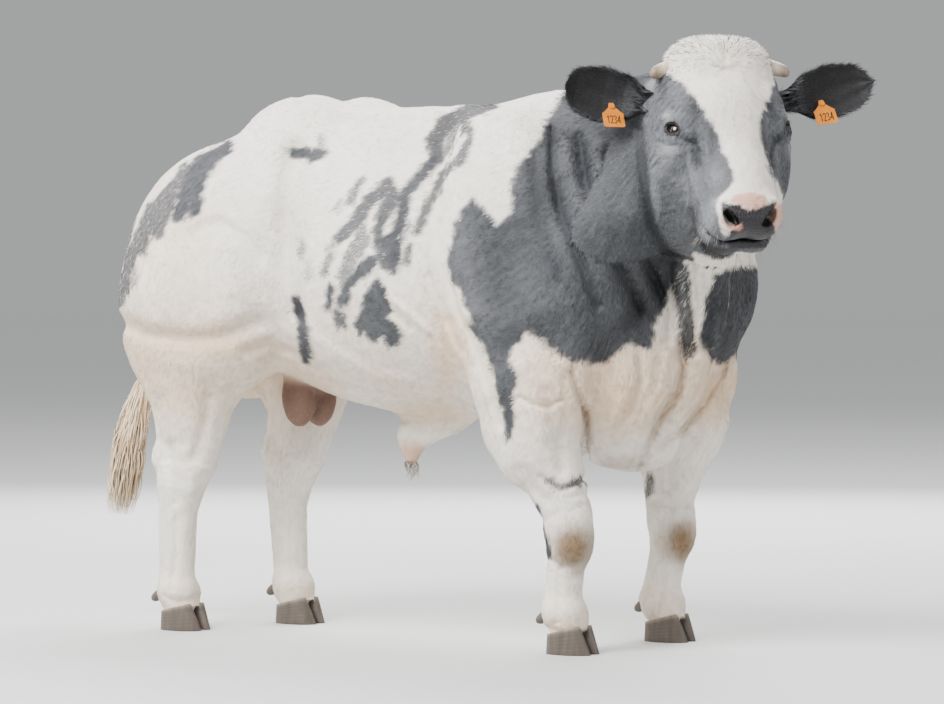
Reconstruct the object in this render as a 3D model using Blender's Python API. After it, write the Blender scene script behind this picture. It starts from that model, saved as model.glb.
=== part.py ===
"""A life-size standing Belgian Blue bull, head turned to its right.

Units are metres. +X points forward along the trunk, +Y to the animal's left, +Z up,
and the soles of the hooves stand on Z = 0.

The flesh is one blended solid: every muscle is an ellipsoid or a tapered limb with a
rounded union to its neighbours. Each node takes its own region of that solid, meshed
at a cell size that suits it, and flat cuts part it from the next node.
"""

import itertools
import math

import bmesh
import bpy
import numpy as np
from mathutils import Matrix, Vector

# Driving sizes
GAP = 0.0003
SWELL = 0.0006
# The middle of the box round the animal, which becomes the origin.
CENTRE_X = 0.1426
CENTRE_Y = 0.0104

POLL = np.array([0.981, -0.127, 1.530])
HEAD_YAW = math.radians(-42.0)
HEAD_PITCH = math.radians(-54.0)
HEAD_ROLL = math.radians(2.0)
EYE_RADIUS = 0.0215
EYE_PLACE = (0.213, 0.131, -0.066)
MOUTH_DEPTH = 0.010
EAR_HALF_WIDTH = 0.074
EAR_THICKNESS = 0.006
EAR_STATIONS = (0.0, 0.18, 0.38, 0.58, 0.78, 0.92, 1.0)
EAR_WIDTHS = (0.56, 0.66, 0.90, 1.00, 0.82, 0.46, 0.08)
EAR_CURLS = (2.30, 1.65, 0.95, 0.75, 0.62, 0.50, 0.40)
TAG_ALONG_EAR = 0.50
TAG_ACROSS_EAR = 0.52
TAG_WIDTH = 0.056
TAG_LENGTH = 0.069
TAG_THICKNESS = 0.0018
TAG_STAND_OFF = 0.0200
PIN_RADIUS = 0.0035
PIN_SIDES = 14
CORONET_HEIGHT = 0.058
CORONET_SLOPE = 0.25
CLAW_MIDDLE = 0.0295
SWITCH_TOP = np.array([-0.8795, -0.0195, 0.6785])
SWITCH_LENGTH = 0.385
SWITCH_LOCKS = 23
LOCK_STEPS = 6
LOCK_ROOT_OUT = 0.012
LOCK_WIDEST = 0.35
GOLDEN_TURN = 0.381966
FEET = {
    "foreleg_right": (0.590, -0.220),
    "foreleg_left": (0.632, 0.210),
    "hindleg_right": (-0.635, -0.200),
    "hindleg_left": (-0.482, 0.124),
}
FORELEG_SPLIT = 0.235
HINDLEG_SPLIT = 0.330
TORSO_TRIANGLES = 3600
NECK_TRIANGLES = 1700
HEAD_TRIANGLES = 3600
LEG_TRIANGLES = 460
TAIL_TRIANGLES = 420
TORSO_CELL, NECK_CELL, HEAD_CELL, LEG_CELL, TAIL_CELL = 0.016, 0.014, 0.006, 0.010, 0.009

# Corners of the triangles that cross a tetrahedron with one, two or three corners inside,
# each corner on an edge of it
CROSSINGS = {
    1: [((0, 1), (0, 2), (0, 3))],
    2: [((0, 2), (0, 3), (1, 3)), ((0, 2), (1, 3), (1, 2))],
    3: [((0, 3), (1, 3), (2, 3))],
}


def turned(yaw, pitch, roll=0.0):
    """The forward, left and up axes as columns, after yaw, pitch and roll in turn."""
    cy, sy, cp, sp, cr, sr = (f(a) for a in (yaw, pitch, roll) for f in (math.cos, math.sin))
    about_up = np.array([[cy, -sy, 0], [sy, cy, 0], [0, 0, 1]])
    about_left = np.array([[cp, 0, -sp], [0, 1, 0], [sp, 0, cp]])
    about_forward = np.array([[1, 0, 0], [0, cr, -sr], [0, sr, cr]])
    return about_up @ about_left @ about_forward


HEAD_AXES = turned(HEAD_YAW, HEAD_PITCH, HEAD_ROLL)


class Form:
    """One muscle or bone: its distance function, a ball that holds it and its blend width.

    A carved form is taken out of the flesh, with a depth only as far in as that.
    """

    def __init__(self, measure, centre, reach, blend):
        self.measure = measure
        self.centre = np.asarray(centre, float)
        self.reach = reach
        self.blend = blend
        self.carved = False
        self.depth = None

    def joined_to(self, total, points):
        """The flesh's distance with this form added to it, or carved out of it."""
        found = self.measure(points)
        if not self.carved:
            return rounded_union(total, found, self.blend)
        if self.depth is not None:
            found = np.maximum(found, -(total + self.depth))
        return -rounded_union(-total, found, self.blend)


def ellipsoid(centre, radii, blend=0.05, yaw=0, pitch=0, roll=0, axes=None):
    """Distance to an ellipsoid, k0 (k0 - 1) / k1 with k0 = |p / r| and k1 = |p / r^2|.

    The angles are in degrees.
    """
    frame = turned(*(math.radians(a) for a in (yaw, pitch, roll)))
    if axes is not None:
        frame = axes @ frame
    centre, radii = np.asarray(centre, float), np.asarray(radii, float)

    def measure(p):
        q = (p - centre) @ frame
        k0 = np.sqrt(((q / radii) ** 2).sum(1))
        k1 = np.sqrt(((q / radii**2) ** 2).sum(1))
        return k0 * (k0 - 1) / np.maximum(k1, 1e-9)

    return Form(measure, centre, radii.max(), blend)


def limb(start, end, start_radius, end_radius, blend=0.05, flat=1.0, across=(0, 1, 0)):
    """Distance to a tapered rod from start to end.

    Its half-width along `across` is `flat` times its radius.
    """
    start, end, across = (np.asarray(v, float) for v in (start, end, across))
    across = across / np.linalg.norm(across)
    squeeze = np.eye(3) + np.outer(across, across) * (1 / flat - 1)
    a, b = start @ squeeze, end @ squeeze
    run = b - a

    def measure(p):
        q = p @ squeeze - a
        t = np.clip(q @ run / (run @ run), 0, 1)
        gap = np.sqrt(((q - t[:, None] * run) ** 2).sum(1))
        return (gap - start_radius - t * (end_radius - start_radius)) * min(1.0, flat)

    reach = np.linalg.norm(end - start) / 2 + max(start_radius, end_radius) * max(1, flat)
    return Form(measure, (start + end) / 2, reach, blend)


def pair(make, place, *rest, **named):
    """The same form on both flanks, mirrored in Y."""
    x, y, z = place
    mirrored = dict(named)
    for angle in ("yaw", "roll"):
        if angle in named:
            mirrored[angle] = -named[angle]
    return [make((x, y, z), *rest, **mirrored), make((x, -y, z), *rest, **named)]


def rod_pair(start, end, *rest, **named):
    """The same limb on both flanks, mirrored in Y."""
    flip = np.array([1, -1, 1])
    return [
        limb(np.array(start) * flip, np.array(end) * flip, *rest, **named),
        limb(start, end, *rest, **named),
    ]


def on_head(along, left, up):
    """Place of a point given along the face from the poll, to its left and out of the forehead."""
    return POLL + HEAD_AXES @ np.array([along, left, up])


def face(place, radii, blend=0.02, yaw=0, pitch=0, roll=0):
    """An ellipsoid given in the head's own axes."""
    return ellipsoid(on_head(*place), radii, blend, yaw, pitch, roll, axes=HEAD_AXES)


def face_pair(place, radii, blend=0.02, yaw=0, pitch=0, roll=0):
    along, left, up = place
    return [
        face((along, left, up), radii, blend, yaw, pitch, roll),
        face((along, -left, up), radii, blend, -yaw, pitch, -roll),
    ]


def face_rod(start, end, start_radius, end_radius, blend=0.02, flat=1.0):
    return limb(
        on_head(*start), on_head(*end), start_radius, end_radius, blend, flat, HEAD_AXES[:, 1]
    )


def trunk_forms():
    """Barrel, back, double-muscled rump and thighs, shoulders and brisket."""
    forms = [
        ellipsoid((0.075, 0, 0.98), (0.675, 0.345, 0.395), 0.06),
        ellipsoid((0.42, 0, 0.96), (0.34, 0.32, 0.42), 0.06),
        ellipsoid((-0.28, 0, 1.10), (0.42, 0.27, 0.28), 0.06),
        ellipsoid((-0.50, 0, 1.01), (0.28, 0.25, 0.27), 0.06, pitch=25),
    ]
    # Long back muscles either side of the spine
    forms += rod_pair((-0.30, -0.110, 1.287), (0.42, -0.115, 1.290), 0.110, 0.115, 0.05)
    # Rump: its peak, the broad slope and the seat
    forms += pair(ellipsoid, (-0.265, -0.130, 1.300), (0.17, 0.130, 0.138), 0.05, pitch=8)
    forms += pair(ellipsoid, (-0.41, -0.165, 1.170), (0.24, 0.160, 0.155), 0.06, pitch=30)
    forms += pair(ellipsoid, (-0.598, -0.150, 1.020), (0.172, 0.136, 0.158), 0.06, pitch=52)
    # Thigh: the filled haunch, its outer, rear and front masses and the stifle
    forms += pair(ellipsoid, (-0.52, -0.180, 0.96), (0.275, 0.190, 0.34), 0.06, pitch=-8)
    forms += pair(ellipsoid, (-0.555, -0.235, 0.905), (0.180, 0.142, 0.225), 0.045, pitch=4)
    forms += pair(ellipsoid, (-0.685, -0.180, 0.840), (0.128, 0.135, 0.235), 0.035, pitch=6)
    forms += pair(ellipsoid, (-0.385, -0.235, 1.00), (0.165, 0.122, 0.235), 0.05, pitch=-12)
    forms += pair(ellipsoid, (-0.435, -0.225, 0.80), (0.120, 0.112, 0.13), 0.06)
    # Point of the hip and the hollow of the flank's upper edge
    forms += pair(ellipsoid, (-0.20, -0.220, 1.16), (0.13, 0.080, 0.095), 0.08)
    # Shoulder: blade, triceps, point of the shoulder, upper arm
    forms += pair(ellipsoid, (0.46, -0.225, 1.08), (0.20, 0.125, 0.31), 0.06, pitch=14)
    forms += pair(ellipsoid, (0.47, -0.255, 0.84), (0.18, 0.118, 0.19), 0.045, pitch=-10)
    forms += [ellipsoid((0.625, -0.215, 0.89), (0.14, 0.142, 0.20), 0.055, pitch=-15)]
    forms += [ellipsoid((0.715, 0.240, 0.91), (0.16, 0.160, 0.21), 0.055, pitch=-15)]
    forms += [ellipsoid((0.57, -0.265, 0.70), (0.122, 0.090, 0.155), 0.035, pitch=-10)]
    forms += [ellipsoid((0.675, 0.285, 0.71), (0.130, 0.100, 0.170), 0.035, pitch=-5)]
    # Breast: the two lobes and the fold of the brisket between them
    forms += [ellipsoid((0.60, 0, 0.77), (0.24, 0.23, 0.26), 0.05)]
    forms += pair(ellipsoid, (0.68, -0.105, 0.72), (0.135, 0.125, 0.20), 0.04, pitch=-10)
    forms += [limb((0.86, -0.01, 0.92), (0.74, -0.005, 0.56), 0.060, 0.052, 0.05, 0.6)]
    forms += [ellipsoid((0.63, 0, 0.555), (0.16, 0.12, 0.10), 0.06, pitch=-10)]
    return forms


def neck_forms():
    """The bull's crest, the bent column of the neck, its side muscles and the dewlap."""
    return [
        limb((0.50, 0, 1.12), (0.82, -0.05, 1.21), 0.30, 0.230, 0.07, 0.88),
        limb((0.80, -0.05, 1.21), (0.955, -0.14, 1.33), 0.230, 0.170, 0.06, 0.88),
        limb((0.40, 0, 1.295), (0.84, -0.06, 1.370), 0.125, 0.115, 0.06),
        limb((0.72, 0.20, 0.98), (0.90, 0.00, 1.25), 0.135, 0.100, 0.06),
        limb((0.64, -0.20, 1.00), (0.88, -0.21, 1.20), 0.140, 0.090, 0.06),
        limb((0.94, -0.12, 1.14), (0.85, -0.02, 0.84), 0.085, 0.075, 0.07, 0.6),
    ]


def head_forms():
    """The skull's masses in the head's own axes: poll, brow, nose, muzzle, jaw and cheeks."""
    forms = [face((0.11, 0, -0.10), (0.135, 0.150, 0.100), 0.03)]
    forms += face_pair((0.030, 0.060, -0.036), (0.075, 0.078, 0.060), 0.05)
    forms += [face((0.026, 0, -0.034), (0.070, 0.090, 0.052), 0.04)]
    forms += face_pair((0.120, 0.080, -0.070), (0.090, 0.078, 0.060), 0.03)
    forms += face_pair((0.205, 0.108, -0.070), (0.062, 0.050, 0.048), 0.03)
    forms += [
        face_rod((0.20, 0, -0.095), (0.43, 0, -0.088), 0.098, 0.068, 0.03, 1.1),
        face((0.30, 0, -0.150), (0.17, 0.118, 0.090), 0.04),
    ]
    forms += face_pair((0.360, 0.055, -0.130), (0.110, 0.053, 0.072), 0.03)
    forms += face_pair((0.448, 0.044, -0.102), (0.054, 0.052, 0.062), 0.025)
    # Jaw, chin and cheeks
    forms += [face_rod((0.425, 0, -0.200), (0.22, 0, -0.245), 0.054, 0.088, 0.03, 1.3)]
    forms += face_pair((0.285, 0.080, -0.225), (0.115, 0.058, 0.078), 0.04)
    forms += face_pair((0.434, 0.044, -0.196), (0.052, 0.052, 0.046), 0.02)
    forms += face_pair((0.195, 0.120, -0.185), (0.150, 0.064, 0.120), 0.04, pitch=-8)
    forms += [face((0.11, 0, -0.19), (0.14, 0.140, 0.12), 0.04)]
    # Lids over the eyeballs
    forms += face_pair(EYE_PLACE, (0.036, 0.0275, 0.031), 0.015)
    return forms


def head_hollows():
    """What is carved from the head: the eye openings, the nostrils and the line of the mouth."""
    along, left, up = EYE_PLACE
    hollows = []
    for side in (-1, 1):
        eye = np.array([along, side * left, up]) + EYE_RADIUS * np.array([0.10, side * 0.85, 0.45])
        hollows.append(face(eye, (0.0235, 0.015, 0.0130), 0.003, yaw=-side * 6, roll=-side * 62))
        inner, outer = (0.488, side * 0.049, -0.060), (0.478, side * 0.068, -0.074)
        hollows.append(face(inner, (0.026, 0.018, 0.011), 0.006, roll=side * 35))
        hollows.append(face(outer, (0.022, 0.012, 0.009), 0.006, roll=side * 55))
    for hollow in hollows:
        hollow.carved = True
    lips = face((0.455, 0, -0.160), (0.080, 0.13, 0.0045), 0.006, pitch=7)
    lips.carved = True
    lips.depth = MOUTH_DEPTH
    return hollows + [lips]


def foreleg_forms(side):
    """Forearm, knee, cannon, fetlock and pastern of one foreleg. side is +1 on the left."""
    if side < 0:
        elbow, knee, foot = (0.480, -0.255), (0.607, -0.222), FEET["foreleg_right"]
    else:
        elbow, knee, foot = (0.630, 0.285), (0.655, 0.225), FEET["foreleg_left"]
    spot = lambda at, z, x=0.0, y=0.0: (at[0] + x, at[1] + side * y, z)
    return [
        limb(spot(elbow, 0.68), spot(knee, 0.36, -0.01), 0.130, 0.068, 0.05, 0.9),
        ellipsoid(spot(elbow, 0.58, 0.040, 0.01), (0.105, 0.085, 0.16), 0.035, pitch=-14),
        ellipsoid(spot(elbow, 0.61, -0.018), (0.080, 0.080, 0.12), 0.04, pitch=-20),
        ellipsoid(spot(knee, 0.290, 0.004), (0.060, 0.063, 0.072), 0.035),
        ellipsoid(spot(knee, 0.305, -0.035), (0.032, 0.034, 0.040), 0.03),
        limb(spot(knee, 0.25, -0.006), spot(foot, 0.11, -0.004), 0.049, 0.045, 0.03),
        limb(spot(knee, 0.25, -0.036), spot(foot, 0.12, -0.036), 0.020, 0.022, 0.03),
        ellipsoid(spot(foot, 0.100), (0.058, 0.062, 0.046), 0.03),
        limb(spot(foot, 0.09, 0.005), spot(foot, 0.045, 0.017), 0.052, 0.051, 0.02, 1.1),
    ]


def hindleg_forms(side):
    """Gaskin, hock, cannon, fetlock and pastern of one hind leg."""
    if side < 0:
        stifle, hock, foot = (-0.550, -0.225), (-0.625, -0.205), FEET["hindleg_right"]
    else:
        stifle, hock, foot = (-0.470, 0.205), (-0.505, 0.135), FEET["hindleg_left"]
    spot = lambda at, z, x=0.0: (at[0] + x, at[1], z)
    return [
        limb(spot(stifle, 0.74), spot(hock, 0.46, 0.045), 0.150, 0.072, 0.05, 0.8),
        limb(spot(stifle, 0.72, -0.05), spot(hock, 0.465, -0.050), 0.095, 0.026, 0.05, 0.7),
        ellipsoid(spot(hock, 0.462, -0.040), (0.048, 0.032, 0.050), 0.03),
        ellipsoid(spot(hock, 0.41, 0.015), (0.062, 0.054, 0.09), 0.03),
        limb(spot(hock, 0.38), spot(foot, 0.11), 0.052, 0.044, 0.03),
        limb(spot(hock, 0.40, -0.045), spot(foot, 0.12, -0.036), 0.024, 0.021, 0.03),
        ellipsoid(spot(foot, 0.100), (0.056, 0.059, 0.045), 0.03),
        limb(spot(foot, 0.09, 0.005), spot(foot, 0.045, 0.017), 0.051, 0.050, 0.02, 1.1),
    ]


def tail_head_forms():
    return [limb((-0.62, 0, 1.24), (-0.79, 0, 1.19), 0.060, 0.045, 0.04)]


def tail_forms():
    """The dock, hanging close behind the thighs."""
    return [
        limb((-0.79, 0, 1.19), (-0.862, -0.005, 1.02), 0.047, 0.037, 0.02),
        limb((-0.862, -0.005, 1.02), (-0.880, -0.020, 0.68), 0.037, 0.024, 0.02),
    ]


def sheath_forms():
    return [
        limb((0.10, 0, 0.60), (-0.01, 0, 0.53), 0.07, 0.045, 0.06, 0.7),
        limb((-0.01, 0, 0.53), (-0.015, 0, 0.475), 0.036, 0.022, 0.03),
    ]


def scrotum_forms():
    return [
        limb((-0.36, 0, 0.80), (-0.345, 0, 0.68), 0.056, 0.052, 0.05, 1.25),
        ellipsoid((-0.350, -0.037, 0.632), (0.053, 0.046, 0.088), 0.014),
        ellipsoid((-0.335, 0.037, 0.627), (0.051, 0.045, 0.084), 0.014),
    ]


def flesh_forms():
    """All that the blended flesh is made of, with the hollows of the head last."""
    forms = trunk_forms() + neck_forms() + head_forms() + tail_head_forms()
    for side in (-1, 1):
        forms += foreleg_forms(side) + hindleg_forms(side)
    return forms + head_hollows()


def rounded_union(a, b, width):
    """The smaller distance, with the crease between the two filled over `width`."""
    near = np.maximum(width - np.abs(a - b), 0) / width
    return np.minimum(a, b) - near * near * width / 4


def distance(points, forms):
    """Distance from each point to the blended flesh, negative inside."""
    total = np.full(len(points), 1.0)
    for form in forms:
        here = np.linalg.norm(points - form.centre, axis=1) < form.reach + form.blend + 0.06
        if here.any():
            total[here] = form.joined_to(total[here], points[here])
    return total


def flesh_mesh(forms, low, high, cell):
    """Points and triangles of the zero surface in a box, from distances on a grid of this cell."""
    low, high = np.asarray(low, float), np.asarray(high, float)
    axes = [np.arange(low[i] - cell, high[i] + 2 * cell, cell) for i in range(3)]
    shape = tuple(len(a) for a in axes)
    field = np.full(shape, 1.0)
    for form in forms:
        pad = form.reach + form.blend + 0.06
        first = [max(0, int((form.centre[i] - pad - axes[i][0]) / cell)) for i in range(3)]
        last = [min(shape[i], int((form.centre[i] + pad - axes[i][0]) / cell) + 2) for i in range(3)]
        if any(last[i] <= first[i] for i in range(3)):
            continue
        block = tuple(slice(first[i], last[i]) for i in range(3))
        grid = np.stack(np.meshgrid(*(axes[i][block[i]] for i in range(3)), indexing="ij"), -1)
        joined = form.joined_to(field[block].ravel(), grid.reshape(-1, 3))
        field[block] = joined.reshape(grid.shape[:3])
    for i in range(3):
        edge = [slice(None)] * 3
        for side in (0, -1):
            edge[i] = side
            field[tuple(edge)] = np.maximum(field[tuple(edge)], cell / 2)
    return crossing_surface(field, [a[0] for a in axes], cell)


def crossing_surface(field, origin, cell):
    """The zero surface of a grid of distances.

    Each cube of the grid is six tetrahedra round its diagonal. The surface crosses each in one or
    two triangles, whose corners lie on its edges where the distance runs through zero.
    """
    steps = np.array([field.shape[1] * field.shape[2], field.shape[2], 1])
    values = field.ravel()
    corners = np.array([[i, j, k] for i in (0, 1) for j in (0, 1) for k in (0, 1)]) @ steps
    cubes = np.argwhere(np.ones([n - 1 for n in field.shape], bool)) @ steps
    hits = (values[cubes[:, None] + corners] < 0).sum(1)
    cubes = cubes[(hits > 0) & (hits < 8)]
    found = []
    for order in itertools.permutations(range(3)):
        path = np.cumsum([0] + [steps[axis] for axis in order])
        tetra = cubes[:, None] + path
        inner = values[tetra] < 0
        tetra = np.take_along_axis(tetra, np.argsort(~inner, axis=1, kind="stable"), 1)
        count = inner.sum(1)
        for number, shapes in CROSSINGS.items():
            chosen = tetra[count == number]
            for shape in shapes:
                found.append(chosen[:, np.array(shape)])
    pairs = np.concatenate(found)
    place = lambda index: np.stack(np.unravel_index(index, field.shape), -1).astype(float)
    start, end = pairs[..., 0], pairs[..., 1]
    keys, back = np.unique(start.ravel() * len(values) + end.ravel(), return_inverse=True)
    inner, outer = keys // len(values), keys % len(values)
    share = np.clip(values[inner] / (values[inner] - values[outer]), 0.04, 0.96)
    points = place(inner) + (place(outer) - place(inner)) * share[:, None]
    faces = back.reshape(-1, 3)
    a, b, c = (points[faces[:, i]] for i in range(3))
    outward = (place(end) - place(start)).sum(1)
    inside_out = (np.cross(b - a, c - a) * outward).sum(1) < 0
    faces[inside_out] = faces[inside_out][:, ::-1]
    return points * cell + np.asarray(origin), faces


def pressed_on(points, forms, most, step=0.002):
    """Points moved along the distance's slope onto the surface, by no more than `most`."""
    here = distance(points, forms)
    slope = np.stack([distance(points + step * axis, forms) - here for axis in np.eye(3)], 1) / step
    length = np.maximum(np.linalg.norm(slope, axis=1), 0.3)
    return points - slope * (np.clip(here / length, -most, most) / length)[:, None]


def new_object(name, points, faces):
    mesh = bpy.data.meshes.new(name)
    mesh.from_pydata(np.asarray(points).tolist(), [], [list(f) for f in faces])
    mesh.validate()
    body = bpy.data.objects.new(name, mesh)
    bpy.context.scene.collection.objects.link(body)
    return body


def apply_modifiers(body):
    evaluated = body.evaluated_get(bpy.context.evaluated_depsgraph_get())
    mesh = bpy.data.meshes.new_from_object(evaluated)
    body.modifiers.clear()
    old, body.data = body.data, mesh
    bpy.data.meshes.remove(old)


def discard(body):
    mesh = body.data
    bpy.data.objects.remove(body)
    bpy.data.meshes.remove(mesh)


def combine(body, other, operation, keep=False):
    """Boolean of body with other, which is then removed unless it is kept."""
    boolean = body.modifiers.new("cut", "BOOLEAN")
    boolean.operation = operation
    boolean.object = other
    boolean.solver = "EXACT"
    bpy.context.view_layer.update()
    apply_modifiers(body)
    if not keep:
        discard(other)


def keep_largest(body):
    """Only the closed surface with the most faces stays."""
    shell = bmesh.new()
    shell.from_mesh(body.data)
    left = set(shell.verts)
    groups = []
    while left:
        group, edge = set(), [left.pop()]
        while edge:
            vertex = edge.pop()
            group.add(vertex)
            for link in vertex.link_edges:
                other = link.other_vert(vertex)
                if other in left:
                    left.discard(other)
                    edge.append(other)
        groups.append(group)
    groups.sort(key=len)
    for group in groups[:-1]:
        bmesh.ops.delete(shell, geom=list(group), context="VERTS")
    bmesh.ops.triangulate(shell, faces=shell.faces[:])
    shell.to_mesh(body.data)
    shell.free()


def flesh(name, forms, low, high, cell, triangles):
    """The surface of some forms inside a box, thinned to about this many triangles."""
    points, faces = flesh_mesh(forms, low, high, cell)
    body = new_object(name, pressed_on(points, forms, cell * 0.3), faces)
    keep_largest(body)
    thin = body.modifiers.new("thin", "DECIMATE")
    thin.ratio = min(1.0, triangles / len(body.data.polygons))
    bpy.context.view_layer.update()
    apply_modifiers(body)
    return body


def block(planes, grow):
    """The convex solid where normal . p < offset + grow for each (normal, offset)."""
    solid = bmesh.new()
    bmesh.ops.create_cube(solid, size=8.0)
    for normal, offset in planes:
        normal = Vector(normal)
        offset /= normal.length
        normal.normalize()
        bmesh.ops.bisect_plane(
            solid,
            geom=solid.verts[:] + solid.edges[:] + solid.faces[:],
            plane_co=normal * (offset + grow),
            plane_no=normal,
            clear_outer=True,
        )
        rim = [edge for edge in solid.edges if edge.is_boundary]
        bmesh.ops.contextual_create(solid, geom=rim)
    bmesh.ops.recalc_face_normals(solid, faces=solid.faces[:])
    mesh = bpy.data.meshes.new("block")
    solid.to_mesh(mesh)
    solid.free()
    body = bpy.data.objects.new("block", mesh)
    bpy.context.scene.collection.objects.link(body)
    return body


def kept_within(body, planes):
    combine(body, block(planes, -GAP / 2), "INTERSECT")
    keep_largest(body)


def cut_away(body, planes):
    combine(body, block(planes, GAP / 2), "DIFFERENCE")
    keep_largest(body)


def swollen(body, amount=SWELL):
    """A copy pushed outwards, so that what it cuts stays a gap away from the body."""
    copy = bpy.data.objects.new("swollen", body.data.copy())
    bpy.context.scene.collection.objects.link(copy)
    shell = bmesh.new()
    shell.from_mesh(copy.data)
    shell.normal_update()
    for vertex, normal in [(v, v.normal.copy()) for v in shell.verts]:
        vertex.co += normal * amount
    shell.to_mesh(copy.data)
    shell.free()
    return copy


def fit_against(body, neighbour, amount=SWELL):
    combine(body, swollen(neighbour, amount), "DIFFERENCE")
    keep_largest(body)


def lofted(name, rings):
    """A closed solid through rings of equal count, each end closed by a fan to its middle."""
    rings = np.asarray(rings, float)
    count, sides = rings.shape[:2]
    points = np.concatenate([rings.reshape(-1, 3), [rings[0].mean(0)], [rings[-1].mean(0)]])
    first, last = count * sides, count * sides + 1
    faces = []
    for row in range(count - 1):
        for side in range(sides):
            after = (side + 1) % sides
            a, b = row * sides + side, row * sides + after
            faces += [(a, b, b + sides), (a, b + sides, a + sides)]
    for side in range(sides):
        after = (side + 1) % sides
        faces.append((first, after, side))
        faces.append((last, (count - 1) * sides + side, (count - 1) * sides + after))
    body = new_object(name, points, faces)
    shell = bmesh.new()
    shell.from_mesh(body.data)
    bmesh.ops.recalc_face_normals(shell, faces=shell.faces[:])
    shell.to_mesh(body.data)
    shell.free()
    return body


def turned_profile(name, start, axis, profile, sides):
    """A solid turned about `axis` from `start`, through (distance along it, radius) pairs."""
    axis = np.asarray(axis, float) / np.linalg.norm(axis)
    side = np.cross(axis, [0.3, 0.2, 0.9])
    side /= np.linalg.norm(side)
    other = np.cross(axis, side)
    angles = np.arange(sides) * 2 * math.pi / sides
    circle = np.outer(np.cos(angles), side) + np.outer(np.sin(angles), other)
    return lofted(name, [start + axis * along + circle * radius for along, radius in profile])


# Planes that part the flesh, each a direction and how far along it the cut lies
NECK_BASE = ((0.877, 0.0, 0.481), 1.1215)
HEAD_BACK = tuple(HEAD_AXES @ np.array([0.555, 0.0, 0.832]))
HEAD_CUT = (HEAD_BACK, float(np.dot(HEAD_BACK, POLL)) - 0.111)
THROAT_CUT = (tuple(HEAD_AXES[:, 2]), float(HEAD_AXES[:, 2] @ POLL) - 0.345)
UP, DOWN = (0, 0, 1), (0, 0, -1)
LEG_BOXES = {
    "foreleg_right": [(UP, 0.545), ((0, 1, 0), -0.135), ((-1, 0, 0), -0.30)],
    "foreleg_left": [(UP, 0.545), ((0, -1, 0), -0.135), ((-1, 0, 0), -0.30)],
    "hindleg_right": [(UP, 0.61), ((0, 1, 0), -0.060), ((1, 0, 0), -0.22)],
    "hindleg_left": [(UP, 0.61), ((0, -1, 0), -0.040), ((1, 0, 0), -0.20)],
}


def reversed_plane(plane):
    normal, offset = plane
    return tuple(-n for n in normal), -offset


def torso_and_neck(forms):
    low, high = (-0.90, -0.48, 0.35), (1.05, 0.48, 1.50)
    torso = flesh("torso", forms, low, high, TORSO_CELL, TORSO_TRIANGLES)
    low, high = (0.38, -0.50, 0.60), (1.15, 0.42, 1.60)
    neck = flesh("neck", forms, low, high, NECK_CELL, NECK_TRIANGLES)
    kept_within(torso, [NECK_BASE])
    for planes in LEG_BOXES.values():
        cut_away(torso, planes)
    kept_within(neck, [reversed_plane(NECK_BASE)])
    cut_away(neck, [reversed_plane(HEAD_CUT), reversed_plane(THROAT_CUT)])
    return torso, neck


def head(forms):
    low, high = POLL + (-0.22, -0.42, -0.62), POLL + (0.42, 0.22, 0.12)
    body = flesh("head", forms, low, high, HEAD_CELL, HEAD_TRIANGLES)
    kept_within(body, [reversed_plane(HEAD_CUT), reversed_plane(THROAT_CUT)])
    return body


def eyeball(name, side, radius):
    shell = bmesh.new()
    bmesh.ops.create_icosphere(shell, subdivisions=3, radius=radius)
    mesh = bpy.data.meshes.new(name)
    shell.to_mesh(mesh)
    shell.free()
    body = bpy.data.objects.new(name, mesh)
    along, left, up = EYE_PLACE
    mesh.transform(Matrix.Translation(Vector(on_head(along, side * left, up))))
    bpy.context.scene.collection.objects.link(body)
    return body


def horn(name, side):
    """A short blunt horn bud, bent a little downwards."""
    rings = []
    for step in range(6):
        t = step / 5
        centre = on_head(0.034 + 0.024 * t * t, side * (0.105 + 0.080 * t), -0.036 + 0.006 * t)
        radius = 0.026 * (1 - t) + 0.015 * t if step < 5 else 0.006
        angles = np.arange(10) * 2 * math.pi / 10
        ring = np.outer(np.cos(angles), HEAD_AXES[:, 0]) + np.outer(np.sin(angles), HEAD_AXES[:, 2])
        rings.append(centre + ring * radius)
    return lofted(name, rings)


def ear_frame(side):
    """Root, direction out to the tip, opening and downward directions of one ear."""
    root = on_head(0.100, side * 0.140, -0.105)
    tip = on_head(0.050, side * (0.418 if side > 0 else 0.388), -0.080)
    out = tip - root
    length = np.linalg.norm(out)
    out /= length
    opening = HEAD_AXES @ np.array([0.50, side * 0.12, 0.86])
    opening -= out * (opening @ out)
    opening /= np.linalg.norm(opening)
    down = np.cross(out, opening) * side
    return root, out, opening, down, length


def ear_point(side, t, v, inward):
    """A point of the ear's curled leaf, t from root to tip and v from -1 at its upper rim to 1."""
    root, out, opening, down, length = ear_frame(side)
    half = EAR_HALF_WIDTH * np.interp(t, EAR_STATIONS, EAR_WIDTHS)
    curl = np.interp(t, EAR_STATIONS, EAR_CURLS)
    radius = half / curl
    centre = root + out * length * t + opening * (radius * 0.75 - 0.020 * t * (1 - t) * 4)
    rim = max(0.0, 1 - abs(v)) ** 0.5
    arc = radius - inward * (0.35 + 0.65 * rim)
    return centre + down * (arc * math.sin(curl * v)) - opening * (arc * math.cos(curl * v))


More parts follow.
